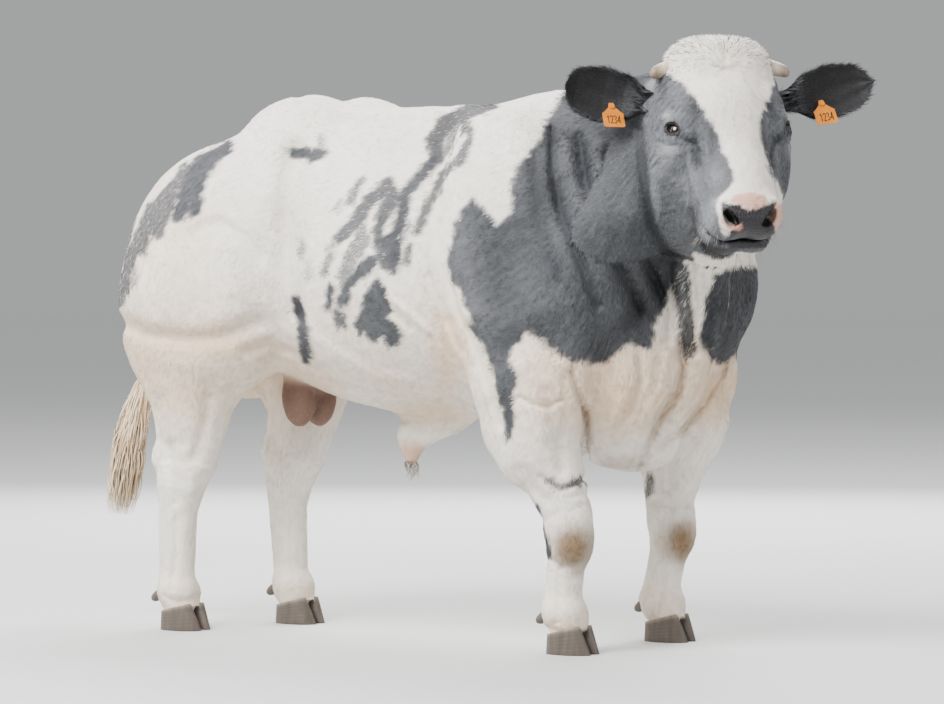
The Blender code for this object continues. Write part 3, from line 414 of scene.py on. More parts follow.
def foreleg_forms(side):
    """Forearm, knee, cannon, fetlock and pastern of one foreleg. side is +1 on the left."""
    if side < 0:
        elbow, knee, foot = (0.48, -0.255), (0.607, -0.222), FEET["foreleg_right"]
    else:
        elbow, knee, foot = (0.63, 0.285), (0.655, 0.225), FEET["foreleg_left"]

    def spot(at, z, x=0.0, y=0.0):
        return at[0] + x, at[1] + side * y, z

    return [
        limb(spot(elbow, 0.68), spot(knee, 0.36, -0.01), 0.13, 0.068, 0.05, 0.9),
        ellipsoid(spot(elbow, 0.58, 0.04, 0.01), (0.105, 0.085, 0.16), 0.035, pitch=-14),
        ellipsoid(spot(elbow, 0.61, -0.018), (0.08, 0.08, 0.12), 0.04, pitch=-20),
        ellipsoid(spot(knee, 0.29, 0.004), (0.06, 0.063, 0.072), 0.035),
        ellipsoid(spot(knee, 0.305, -0.035), (0.032, 0.034, 0.04), 0.03),
        limb(spot(knee, 0.25, -0.006), spot(foot, 0.11, -0.004), 0.049, 0.045, 0.03),
        limb(spot(knee, 0.25, -0.036), spot(foot, 0.12, -0.036), 0.02, 0.022, 0.03),
        ellipsoid(spot(foot, 0.1), (0.058, 0.062, 0.046), 0.03),
        limb(spot(foot, 0.09, 0.005), spot(foot, 0.045, 0.017), 0.052, 0.051, 0.02, 1.1),
    ]


def hindleg_forms(side):
    """Gaskin, hock, cannon, fetlock and pastern of one hind leg."""
    if side < 0:
        stifle, hock, foot = (-0.55, -0.225), (-0.625, -0.205), FEET["hindleg_right"]
    else:
        stifle, hock, foot = (-0.47, 0.205), (-0.505, 0.135), FEET["hindleg_left"]

    def spot(at, z, x=0.0):
        return at[0] + x, at[1], z

    return [
        limb(spot(stifle, 0.74), spot(hock, 0.46, 0.045), 0.15, 0.072, 0.05, 0.8),
        limb(spot(stifle, 0.72, -0.05), spot(hock, 0.465, -0.05), 0.095, 0.026, 0.05, 0.7),
        ellipsoid(spot(hock, 0.462, -0.04), (0.048, 0.032, 0.05), 0.03),
        ellipsoid(spot(hock, 0.41, 0.015), (0.062, 0.054, 0.09), 0.03),
        limb(spot(hock, 0.38), spot(foot, 0.11), 0.052, 0.044, 0.03),
        limb(spot(hock, 0.4, -0.045), spot(foot, 0.12, -0.036), 0.024, 0.021, 0.03),
        ellipsoid(spot(foot, 0.1), (0.056, 0.059, 0.045), 0.03),
        limb(spot(foot, 0.09, 0.005), spot(foot, 0.045, 0.017), 0.051, 0.05, 0.02, 1.1),
    ]


def tail_head_forms():
    """The root of the tail, a tapered rod down from the rump."""
    return [limb((-0.62, 0, 1.24), (-0.79, 0, 1.19), 0.06, 0.045, 0.04)]


def tail_forms():
    """The dock, hanging close behind the thighs."""
    return [
        limb((-0.79, 0, 1.19), (-0.862, -0.005, 1.02), 0.047, 0.037, 0.02),
        limb((-0.862, -0.005, 1.02), (-0.88, -0.02, 0.68), 0.037, 0.024, 0.02),
    ]


def sheath_forms():
    """The sheath: a flat tapered rod down from the belly and a thin one at its end."""
    return [
        limb((0.1, 0, 0.6), (-0.01, 0, 0.53), 0.07, 0.045, 0.06, 0.7),
        limb((-0.01, 0, 0.53), (-0.015, 0, 0.475), 0.036, 0.022, 0.03),
    ]


def scrotum_forms():
    """The scrotum: its neck as a wide rod and the two halves as ellipsoids."""
    return [
        limb((-0.36, 0, 0.8), (-0.345, 0, 0.68), 0.056, 0.052, 0.05, 1.25),
        ellipsoid((-0.35, -0.037, 0.632), (0.053, 0.046, 0.088), 0.014),
        ellipsoid((-0.335, 0.037, 0.627), (0.051, 0.045, 0.084), 0.014),
    ]


def rounded_union(a, b, width):
    """The smaller distance, with the crease between the two filled over `width`."""
    near = np.maximum(width - np.abs(a - b), 0) / width
    return np.minimum(a, b) - near * near * width / 4


def distance(points, forms):
    """Distance from each point to the blended flesh, negative inside."""
    total = np.full(len(points), 1.0)
    for form in forms:
        here = np.linalg.norm(points - form.centre, axis=1) < form.reach + form.blend + 0.06
        if here.any():
            total[here] = form.joined_to(total[here], points[here])
    return total


def graded(*stretches):
    """Grid lines through stretches of (start, end, cell), each starting where the last one ends."""
    return np.concatenate([np.arange(start, end, cell) for start, end, cell in stretches])


def grid_distance(forms, axes):
    """Distance to the blended flesh at every crossing of the grid lines."""
    shape = tuple(len(a) for a in axes)
    field = np.full(shape, 1.0, np.float32)
    for form in forms:
        pad = form.reach + form.blend + 0.03
        spans = [
            np.searchsorted(axes[i], (form.centre[i] - pad, form.centre[i] + pad)) for i in range(3)
        ]
        if any(last <= first for first, last in spans):
            continue
        block = tuple(slice(first, last) for first, last in spans)
        grid = np.stack(np.meshgrid(*(axes[i][block[i]] for i in range(3)), indexing="ij"), -1)
        joined = form.joined_to(field[block].ravel(), grid.reshape(-1, 3))
        field[block] = joined.reshape(grid.shape[:3])
    return field


# Corners of the triangles that cross a tetrahedron with one, two or three corners inside,
# each corner on an edge of it
CROSSINGS = {
    1: [((0, 1), (0, 2), (0, 3))],
    2: [((0, 2), (0, 3), (1, 3)), ((0, 2), (1, 3), (1, 2))],
    3: [((0, 3), (1, 3), (2, 3))],
}


def crossing_surface(field, axes):
    """The zero surface of a grid of distances.

    Each box of the grid is six tetrahedra round its diagonal. The surface crosses each in one or
    two triangles, whose corners lie on its edges where the distance runs through zero.
    """
    steps = np.array([field.shape[1] * field.shape[2], field.shape[2], 1])
    values = field.ravel()
    inside = (field < 0).astype(np.uint8)
    lower, upper = slice(0, -1), slice(1, None)
    hits = sum(inside[i, j, k] for i, j, k in itertools.product((lower, upper), repeat=3))
    boxes = np.stack(np.nonzero((hits > 0) & (hits < 8)), -1) @ steps
    found = []
    for order in itertools.permutations(range(3)):
        path = np.cumsum([0] + [steps[axis] for axis in order])
        tetra = boxes[:, None] + path
        inner = values[tetra] < 0
        tetra = np.take_along_axis(tetra, np.argsort(~inner, axis=1, kind="stable"), 1)
        count = inner.sum(1)
        for number, shapes in CROSSINGS.items():
            chosen = tetra[count == number]
            for shape in shapes:
                found.append(chosen[:, np.array(shape)])
    pairs = np.concatenate(found)

    def place(index):
        cells = np.unravel_index(index, field.shape)
        return np.stack([axes[i][cells[i]] for i in range(3)], -1)

    start, end = pairs[..., 0], pairs[..., 1]
    keys, back = np.unique(start.ravel() * len(values) + end.ravel(), return_inverse=True)
    inner, outer = keys // len(values), keys % len(values)
    share = np.clip(values[inner] / (values[inner] - values[outer]), 0.04, 0.96)
    points = place(inner) + (place(outer) - place(inner)) * share[:, None]
    faces = back.reshape(-1, 3)
    a, b, c = (points[faces[:, i]] for i in range(3))
    outward = (place(end) - place(start)).sum(1)
    inside_out = (np.cross(b - a, c - a) * outward).sum(1) < 0
    faces[inside_out] = faces[inside_out][:, ::-1]
    return points, faces


def slope_of(points, measure, here, step=0.0015):
    """How fast the distance grows along each axis, by its change over a short step."""
    return np.stack([measure(points + step * axis) - here for axis in np.eye(3)], 1) / step


def pressed_on(points, measure, most):
    """Points moved along the distance's slope onto the surface, by no more than `most`."""
    here = measure(points)
    slope = slope_of(points, measure, here)
    length = np.maximum(np.linalg.norm(slope, axis=1), 0.3)
    return points - slope * (np.clip(here / length, -most, most) / length)[:, None]


def evened(points, faces, share=0.6):
    """Each point moved by `share` of the way to the middle of its neighbours."""
    edges = np.concatenate([faces[:, [0, 1]], faces[:, [1, 2]], faces[:, [2, 0]]])
    both = np.concatenate([edges, edges[:, ::-1]])
    count = np.bincount(both[:, 0], minlength=len(points))
    total = [np.bincount(both[:, 0], points[both[:, 1], i], len(points)) for i in range(3)]
    middle = np.stack(total, 1) / np.maximum(count, 1)[:, None]
    return points + share * (middle - points)


def linked(name, data):
    """A new object in the scene for a mesh, camera or lamp."""
    body = bpy.data.objects.new(name, data)
    bpy.context.scene.collection.objects.link(body)
    return body


def mesh_piece(name, points, faces, material, colours, nodes=()):
    """A mesh object from arrays, in the solids' frame, riding on the root and standing for `nodes`.

    `faces` is one array of equal-sided faces, or a list of them.
    """
    groups = faces if isinstance(faces, list) else [faces]
    faces = [corners for group in groups for corners in group.tolist()]
    mesh = bpy.data.meshes.new(name)
    mesh.from_pydata((points - CENTRE).tolist(), [], faces)
    mesh.polygons.foreach_set("use_smooth", np.ones(len(faces), bool))
    add_colour(mesh, "hue", colours)
    mesh.materials.append(material)
    body = linked(name, mesh)
    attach(body, "root")
    if nodes:
        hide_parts(*nodes)
    return body


def add_colour(mesh, name, colours):
    """A colour at each of the mesh's points."""
    layer = mesh.color_attributes.new(name, "FLOAT_COLOR", "POINT")
    filled = np.ones((len(colours), 4), np.float32)
    filled[:, :3] = colours
    layer.data.foreach_set("color", filled.ravel())


def add_value(mesh, name, values):
    """A number at each of the mesh's points."""
    layer = mesh.attributes.new(name, "FLOAT", "POINT")
    layer.data.foreach_set("value", np.asarray(values, np.float32))


def lofted(rings):
    """Faces of a tube through rings (stations, sides, 3), each end closed by a fan to its middle."""
    stations, sides = rings.shape[:2]
    index = np.arange(stations * sides).reshape(stations, sides)
    after = np.roll(index, -1, 1)
    quads = np.stack([index[:-1], after[:-1], after[1:], index[1:]], -1).reshape(-1, 4)
    points = np.concatenate([rings.reshape(-1, 3), [rings[0].mean(0)], [rings[-1].mean(0)]])
    first = np.stack([np.full(sides, stations * sides), after[0], index[0]], -1)
    last = np.stack([np.full(sides, stations * sides + 1), index[-1], after[-1]], -1)
    return outward_faces(points, [quads, np.concatenate([first, last])])


def outward_faces(points, groups):
    """The faces turned over together where the volume that they close comes out negative."""
    volume = 0.0
    for group in groups:
        a, b = points[group[:, 0]], points[group[:, 1]]
        for corner in range(2, group.shape[1]):
            c = points[group[:, corner]]
            volume += np.einsum("ij,ij->", a, np.cross(b, c))
            b = c
    if volume < 0:
        groups = [group[:, ::-1] for group in groups]
    return points, groups


def head_place(points):
    """Along the face from the poll, to its left and out of the forehead."""
    return (points - POLL) @ HEAD_AXES


def picture_place(points):
    """Column and row of each point in the photograph's frame, 944 by 704."""
    rel = points - EYE_POINT
    depth = rel @ FORWARD
    column = FRAME_WIDTH / 2 + FOCAL * (rel @ RIGHTWARD) / depth
    row = FRAME_HEIGHT / 2 - FOCAL * (rel @ UPWARD) / depth
    return np.stack([column, row], 1)


def line_gap(places, line):
    """Distance from each flat place to a line through the given corners."""
    line = np.asarray(line, float)
    if len(line) == 1:
        return np.linalg.norm(places - line[0], axis=1)
    best = np.full(len(places), 1e9)
    for start, end in zip(line[:-1], line[1:]):
        run = end - start
        t = np.clip((places - start) @ run / (run @ run), 0, 1)
        best = np.minimum(best, np.linalg.norm(places - start - t[:, None] * run, axis=1))
    return best


def depth_inside(places, outline):
    """Distance in from a closed outline's edge, negative outside.

    A place is inside where a line from it towards +X crosses the edge an odd number of times.
    """
    outline = np.asarray(outline, float)
    gap = line_gap(places, np.concatenate([outline, outline[:1]]))
    inside = np.zeros(len(places), bool)
    for (x0, y0), (x1, y1) in zip(outline, np.roll(outline, -1, 0)):
        crosses = (y0 > places[:, 1]) != (y1 > places[:, 1])
        if y1 != y0:
            at = x0 + (places[:, 1] - y0) * (x1 - x0) / (y1 - y0)
            inside ^= crosses & (places[:, 0] < at)
    return np.where(inside, gap, -gap)


def patch(places, outline, soft, shift=0.5):
    """1 well inside an outline and 0 well outside, in a smooth step `soft` wide over its edge."""
    return smooth(depth_inside(places, outline) / soft + shift)


def strokes(places, lines, soft):
    """The strongest of the strokes (line, half-width, strength) at each place, with soft edges."""
    found = np.zeros(len(places))
    for line, half, strength in lines:
        found = np.maximum(found, strength * smooth((half - line_gap(places, line)) / soft + 0.5))
    return found


def facing_camera(points, normals, margin):
    """1 where the surface faces the standpoint, falling to 0 where it turns away past the margin."""
    shown = unit(EYE_POINT - points)
    return smooth(((normals * shown).sum(1) + margin) / 0.2)


# Blue patches of the near side as they show from the standpoint, in the frame's columns and rows:
# (line, half-width, strength)
NEAR_STROKES = [
    # Rump
    ([(227, 146), (212, 158), (203, 172), (198, 190), (194, 209)], 8, 1.0),
    ([(205, 158), (190, 178), (184, 198), (179, 216)], 7, 1.0),
    ([(190, 170), (172, 192), (164, 212), (157, 231)], 7, 0.9),
    ([(172, 186), (155, 212), (146, 232), (142, 250)], 6, 0.9),
    ([(152, 208), (138, 236), (128, 266), (119, 300)], 7, 0.9),
    ([(138, 232), (133, 258), (134, 283)], 4, 0.6),
    # Hip
    ([(296, 151), (304, 154), (312, 157), (320, 153)], 6, 1.0),
    ([(318, 154), (322, 145), (322, 138)], 4, 0.55),
    # Flank, its upper streaks
    ([(360, 180), (356, 190), (352, 200)], 5.5, 0.8), ([(342, 201), (334, 211)], 3, 0.5),
    ([(388, 183), (378, 195), (369, 205), (358, 219), (348, 228), (341, 237)], 6.5, 0.95),
    ([(340, 238), (334, 246), (326, 254)], 3.5, 0.5),
    ([(359, 222), (363, 240), (352, 256), (345, 274)], 7, 0.75),
    ([(370, 260), (360, 274), (349, 284), (344, 300)], 6.5, 1.0), ([(332, 258), (324, 273)], 4.5, 0.7),
    ([(331, 287), (330, 297), (329, 307)], 4.5, 1.0), ([(340, 311), (343, 326)], 4.5, 0.95),
    ([(394, 191), (386, 212), (378, 230), (377, 248), (384, 264)], 6.5, 0.95),
    ([(401, 200), (401, 221), (396, 243), (394, 268)], 6.5, 1.0), ([(386, 244), (393, 240)], 8, 1.0),
    ([(411, 224), (404, 239)], 3, 0.7), ([(409, 246), (405, 263)], 3.5, 0.9),
    ([(303, 240), (303, 256)], 4, 0.5), ([(309, 262), (309, 276)], 3, 0.4),
    ([(297, 302), (302, 328), (307, 358)], 5.5, 1.0),
    # Stripe behind the shoulder
    ([(495, 101), (470, 110), (448, 122), (434, 138), (436, 158)], 8, 0.95),
    ([(436, 158), (422, 174), (409, 189), (401, 204)], 6, 1.0),
    ([(468, 116), (468, 138), (460, 160), (441, 178), (436, 195), (426, 212), (417, 233)], 4.5, 0.9),
    ([(455, 118), (452, 136), (446, 150)], 6, 0.75),
    # Arm; the strokes along rows 477 to 489 draw a dark line on the forearm's lower edge, over its crease
    ([(543, 479), (552, 485), (562, 489)], 2.5, 0.6), ([(566, 486), (574, 483), (581, 477)], 3.5, 0.8),
    ([(534, 510), (539, 528), (546, 552)], 5.5, 1.0), ([(523, 498), (531, 512)], 4, 0.6),
    ([(545, 481), (552, 481)], 3, 0.7), ([(573, 480), (580, 484)], 3, 0.9),
    # Inside of the far knee, and behind the far hock
    ([(650, 478), (651, 492)], 5, 0.8), ([(258, 440), (257, 458)], 4, 0.8),
]
ARM_BAND = [
    (468, 322), (484, 346), (490, 366), (496, 392), (503, 420), (508, 443), (513, 436), (514, 415),
    (513, 396), (518, 380), (512, 364), (514, 350), (524, 336), (532, 322),
]
FLANK_PATCH = [
    (375, 278), (384, 285), (394, 310), (389, 316), (401, 331), (400, 347), (389, 349), (382, 336),
    (372, 341), (367, 332), (359, 339), (355, 325), (359, 315), (364, 306), (366, 294),
]
NECK_PATCH = [
    (600, 60), (568, 88), (549, 119), (535, 141), (514, 169), (511, 190), (514, 209), (503, 221),
    (494, 226), (489, 211), (476, 196), (463, 206), (454, 226), (449, 256), (455, 284), (472, 318),
    (490, 340), (506, 352), (523, 329), (551, 349), (574, 363), (602, 363), (630, 343), (646, 350),
    (654, 325), (668, 300), (680, 270), (690, 250), (700, 60),
]
FAR_PATCH = [
    (706, 300), (716, 276), (728, 268), (765, 262), (770, 300), (764, 322), (744, 352), (722, 364),
    (708, 358), (699, 340),
]
THROAT_STREAK = ([(676, 262), (682, 292), (687, 322), (690, 352)], 8, 0.9)
BLAZE = [
    (655, 30), (660, 60), (672, 74), (686, 88), (698, 100), (709, 121), (716, 141), (727, 154),
    (732, 169), (733, 180), (729, 190), (719, 199), (716, 212), (722, 235), (795, 240), (790, 214),
    (784, 198), (777, 182), (769, 165), (760, 143), (761, 122), (766, 100), (776, 76), (785, 30),
]
LEATHER = [
    (721, 202), (729, 204), (740, 205), (748, 210), (759, 208), (768, 204), (777, 201), (774, 208),
    (767, 217), (775, 226), (776, 232), (771, 240), (768, 247), (732, 249), (726, 242), (731, 230),
    (737, 226), (729, 222), (722, 213),
]
FACE_OUTLINE = [
    (640, 30), (634, 70), (641, 110), (646, 150), (650, 190), (656, 222), (668, 247), (690, 262),
    (720, 290), (900, 290), (900, 30),
]
CHIN = [
    (692, 250), (702, 252), (711, 259), (724, 260), (736, 252), (750, 252), (766, 249), (779, 249),
    (777, 262), (754, 278), (730, 281), (706, 277), (695, 266),
]
# The lip's corner crease, which is painted darker as shade.
LIP_CREASE = [(704, 249), (699, 239), (695, 226), (692, 209)]
LOWER_LIP = [
    (701, 242), (712, 245), (724, 248), (737, 249), (733, 256), (722, 259), (711, 258), (703, 252),
]
WHORL_LINES = [[(711, 65), (718, 66), (724, 69), (730, 66), (737, 63)], [(722, 40), (724, 52), (724, 66)]]
PINK_RIM = [(720, 215), (726, 223), (735, 227), (742, 223), (741, 231), (731, 230), (722, 223)]
PINK_NOSE = [
    (733, 195), (748, 192), (765, 195), (769, 203), (758, 209), (749, 210), (742, 205), (732, 203),
]
PINK_SIDE = [(773, 205), (784, 202), (789, 215), (787, 233), (777, 238), (775, 227), (768, 218)]
# Lighter and darker places of the near side of the face: (column, row, across, down, paler by)
FACE_TONES = [
    (667, 116, 4.5, 4.5, 0.45), (668, 150, 8, 7, 0.3), (692, 140, 8, 5, -0.22), (694, 108, 9, 16, -0.2),
    (712, 142, 5, 18, -0.14), (700, 160, 4, 12, -0.12), (708, 224, 8, 16, 0.34), (716, 203, 6, 6, 0.3),
    (654, 205, 5, 30, 0.2), (652, 84, 6, 12, 0.26), (676, 178, 12, 16, -0.08), (716, 176, 7, 10, 0.14),
    (688, 214, 7, 20, -0.06), (716, 243, 11, 2.5, -0.3), (662, 88, 5, 14, -0.16), (672, 72, 8, 5, -0.12),
]


# The left side, which the photograph doesn't show, in metres forward and up: (line, half-width,
# strength), then outlines, and the middle of the patch beside the dock
LEFT_STROKES = [
    ([(-0.6, 1.22), (-0.7, 1.12), (-0.76, 0.98)], 0.035, 1.0),
    ([(-0.66, 1.05), (-0.7, 0.92), (-0.72, 0.8)], 0.024, 0.9), ([(-0.52, 1.17), (-0.56, 1.06)], 0.018, 0.8),
    ([(-0.22, 1.22), (-0.25, 1.14), (-0.31, 1.1)], 0.022, 0.9),
    ([(0.24, 1.38), (0.2, 1.2), (0.13, 1.02), (0.1, 0.9)], 0.022, 1.0),
    ([(0.31, 1.36), (0.27, 1.16), (0.22, 1.04)], 0.017, 0.9),
    ([(-0.02, 1.14), (-0.07, 1.02), (-0.1, 0.96)], 0.022, 0.9),
    ([(0.04, 1.02), (-0.02, 0.88), (-0.05, 0.8)], 0.026, 0.9), ([(-0.12, 0.9), (-0.17, 0.8)], 0.02, 0.8),
    ([(0.05, 0.8), (0.0, 0.72)], 0.022, 0.8), ([(-0.24, 0.92), (-0.27, 0.84)], 0.014, 0.7),
]
LEFT_NECK_PATCH = [
    (1.3, 1.6), (0.52, 1.5), (0.5, 1.3), (0.42, 1.16), (0.38, 1.02), (0.43, 0.86), (0.52, 0.74),
    (0.62, 0.7), (0.72, 0.72), (0.8, 0.74), (0.95, 0.8), (1.3, 0.8),
]
CREST_PATCH = [(1.3, 1.7), (0.5, 1.7), (0.47, 1.36), (0.66, 1.2), (1.3, 1.1)]
DOCK_PATCH = (-0.7, -0.02, 1.16)


def near_blue(points, places):
    """Blue of the near side and the breast: the strongest of the strokes and patches."""
    near = strokes(places, NEAR_STROKES, 5)
    near = np.maximum(near, patch(places, FLANK_PATCH, 4, 0.6))
    near = np.maximum(near, patch(places, ARM_BAND, 4, 0.6))
    far_front = (points[:, 1] > 0.02) & (points[:, 0] > 0.45)
    white = (points[:, 2] < 0.62) | far_front
    near = np.maximum(near, np.where(white, 0.0, patch(places, NECK_PATCH, 6)))
    breast = np.maximum(strokes(places, [THROAT_STREAK], 5), patch(places, FAR_PATCH, 6))
    return np.maximum(near, np.where(points[:, 0] > 0.6, breast, 0.0))


def left_blue(points, sides):
    """Blue of the left side in the same way, and again with the crest's and the dock's added."""
    away = np.maximum(strokes(sides, LEFT_STROKES, 0.014), patch(sides, LEFT_NECK_PATCH, 0.02))
    away *= smooth(points[:, 1] / 0.05 + 0.5)
    dock = smooth((0.075 - np.linalg.norm(points - DOCK_PATCH, axis=1)) / 0.03)
    return away, np.maximum(np.maximum(away, patch(sides, CREST_PATCH, 0.02)), dock)


def head_white(head, places, fray, facing):
    """White of the blaze, the poll and the chin, where seen by outline and elsewhere by place."""
    along, left, out = head.T
    blaze = patch(places, BLAZE, 4)
    white_top = smooth((0.075 - 0.35 * along - np.abs(left) + 0.006 * fray[:, 0]) / 0.02)
    blaze = blaze * facing + white_top * (1 - facing)
    under = smooth((along - 0.44) / 0.03) * smooth((-out - 0.185) / 0.015)
    under = under * smooth((0.085 - np.abs(left)) / 0.02)
    chin = patch(places, CHIN, 3) * facing + under * (1 - facing)
    return np.maximum(blaze, chin)


def blue_share(points, normals):
    """Share of dark hairs in the coat, from 0 on the white to 1 on the darkest blue.

    Outlines and strokes of the patches are softened over a few millimetres after their places are
    shifted by two sizes of smooth noise, so that their edges fray as the coat's do.
    """
    fray = np.stack([wobble(points, 0.11, 1) + 0.7 * wobble(points, 0.035, 2),
                     wobble(points, 0.11, 3) + 0.7 * wobble(points, 0.035, 4)], 1)
    facing = facing_camera(points, normals, 0.15)
    places = picture_place(points) + fray * 3.2
    on_head = head_weight(points) > 0.5
    left = (points[:, 1] > 0.0) & (points[:, 0] <= 0.45)
    away, hidden = left_blue(points, points[:, [0, 2]] + fray * 0.009)
    share = np.where(left & ~on_head, away, near_blue(points, places))
    share = share * facing + np.where(on_head, 0.0, hidden) * (1 - facing)
    white = head_white(head_place(points), places, fray, facing)
    return np.clip(np.where(on_head, 1 - white, share), 0, 1)


def mirrored_near(points):
    """The head's points with those of its far side taken across to the near side."""
    head = head_place(points)
    return from_head(np.stack([head[:, 0], -np.abs(head[:, 1]), head[:, 2]], 1))


def near_places(points):
    """Picture places, with the trunk's and the head's left side taken across to the near side."""
    on_head = head_weight(points) > 0.5
    mirrored = points.copy()
    turn = ~on_head & (points[:, 0] < 0.52) & (points[:, 1] > 0)
    mirrored[turn, 1] *= -1
    mirrored[on_head] = mirrored_near(points[on_head])
    return picture_place(mirrored)


def streaks(points, lie, scale=0.009, seed=21):
    """Noise drawn out along the hair: its mean at seven places, 6 mm apart, along the lie."""
    steps = np.arange(-3, 4) * 0.006
    return 1.5 * sum(wobble(points + lie * step, scale, seed) for step in steps) / len(steps)


def paleness(points, lie, depth):
    """How pale the blue is: by the part of the body, the tones of the face, the hair, and painted shade in
    the folds.
    """
    on_head = head_weight(points)
    roan = wobble(points, 0.14, 21)
    base = 0.1 + 0.05 * roan + 0.05 * smooth((0.62 - points[:, 0]) / 0.25)
    places = picture_place(mirrored_near(points))
    facial = 0.25 + 0.05 * roan
    for column, row, across, down, paler in FACE_TONES:
        gap = ((places[:, 0] - column) / across) ** 2 + ((places[:, 1] - row) / down) ** 2
        facial = facial + paler * np.exp(-gap)
    on_face = on_head * patch(places, FACE_OUTLINE, 7)
    tone = base + (facial - base) * on_face
    # The folds' depth darkens the blue: painted shade in the creases.
    tone = tone + (0.09 + 0.15 * on_face) * streaks(points, lie) - 9 * np.clip(depth, -0.006, 0.012)
    return np.clip(tone, 0, 1)


def lid_tint(points):
    """1 on the rim of the eye openings, by the distance out from each in its own axes."""
    middle, axes = eye_opening(-1)
    eye = (head_place(mirrored_near(points)) - middle) @ axes
    ring = np.sqrt((eye[:, 0] / EYE_OPENING[0]) ** 2 + (eye[:, 1] / EYE_OPENING[1]) ** 2)
    return smooth((1.15 - ring) / 0.2) * smooth((0.035 - np.abs(eye[:, 2])) / 0.01)


def nostril_tint(points):
    """1 inside the nostrils and 3 mm round them."""
    hole = np.zeros(len(points))
    for form in head_hollows()[:-1]:
        close = np.linalg.norm(points - form.centre, axis=1) < form.reach + 0.02
        hole[close] = np.maximum(hole[close], smooth((0.003 - form.measure(points[close])) / 0.003))
    return hole * (head_place(points)[:, 0] > 0.4)


def skin_tints(points, normals):
    """Bare and tinted skin, and shade painted in the mouth's creases and the nostrils: (share, colour) pairs
    laid over the coat's colour in turn.
    """
    on_head = head_weight(points)
    facing = facing_camera(points, normals, 0.25)
    seen = facing * on_head
    places = picture_place(points)
    along, left, out = head_place(points).T
    edge = 1.2 * wobble(points, 0.012, 51)
    inside = smooth(depth_inside(places, LEATHER) / 1.6 + 0.5 + 0.25 * edge) * facing
    unseen = smooth((along - 0.475) / 0.015) * smooth((0.05 - np.abs(left)) / 0.02) * (out < -0.06)
    leather = np.maximum(inside, unseen * (1 - facing)) * on_head
    seam = MOUTH_HEIGHT + MOUTH_SLOPE * (along - MOUTH_FRONT)
    lips = np.exp(-(((out - seam) / 0.0048) ** 2)) * smooth((along - 0.445) / 0.02) * on_head
    crease_shade = np.exp(-((line_gap(places, LIP_CREASE) / 2.0) ** 2)) * seen
    whorl = sum(np.exp(-((line_gap(places, line) / 1.3) ** 2)) for line in WHORL_LINES) * seen
    scrotum, sheath = bare_skin(points)
    return [
        (0.45 * np.clip(whorl, 0, 1), TAN),
        (0.75 * patch(places, PINK_NOSE, 3) * seen, PINK_SKIN),
        (0.75 * patch(places, PINK_SIDE, 3) * seen, PINK_SKIN),
        (leather, LEATHER_SKIN),
        (0.9 * patch(places, LOWER_LIP, 2) * seen, LEATHER_SKIN),
        # Dark along the mouth's line and the lip's corner crease: dark lip skin, and painted shade in the
        # groove and the crease.
        (np.maximum(lips * 0.9, crease_shade * 0.6), DARK_SKIN_AND_CREASE_SHADE),
        # The nostrils are darker than the muzzle's leather: dark skin, and painted shade in their hollows.
        (nostril_tint(points), NOSTRIL_SKIN_AND_SHADE),
        (0.7 * patch(places, PINK_RIM, 1.5, 0.6) * seen, PINK_SKIN),
        (0.9 * lid_tint(points) * on_head, DARK_SKIN_AND_CREASE_SHADE),
        (scrotum, SCROTUM_SKIN),
        (sheath, SHEATH_SKIN),
    ]


def leather_share(points, normals):
    """Where the skin is bare and wet: the sum of the leather's and the nostrils' tints."""
    tints = skin_tints(points, normals)
    wet = [amount for amount, tint in tints if tint is LEATHER_SKIN or tint is NOSTRIL_SKIN_AND_SHADE]
    return np.clip(sum(wet), 0, 1)


def head_weight(points):
    """1 on the head, 0 behind its joint with the neck: smooth steps over two planes."""
    head = head_place(points)
    normal, offset = HEAD_BACK
    return smooth((head @ normal + offset) / 0.05 + 0.5) * smooth((head[:, 2] + 0.345) / 0.04 + 0.5)


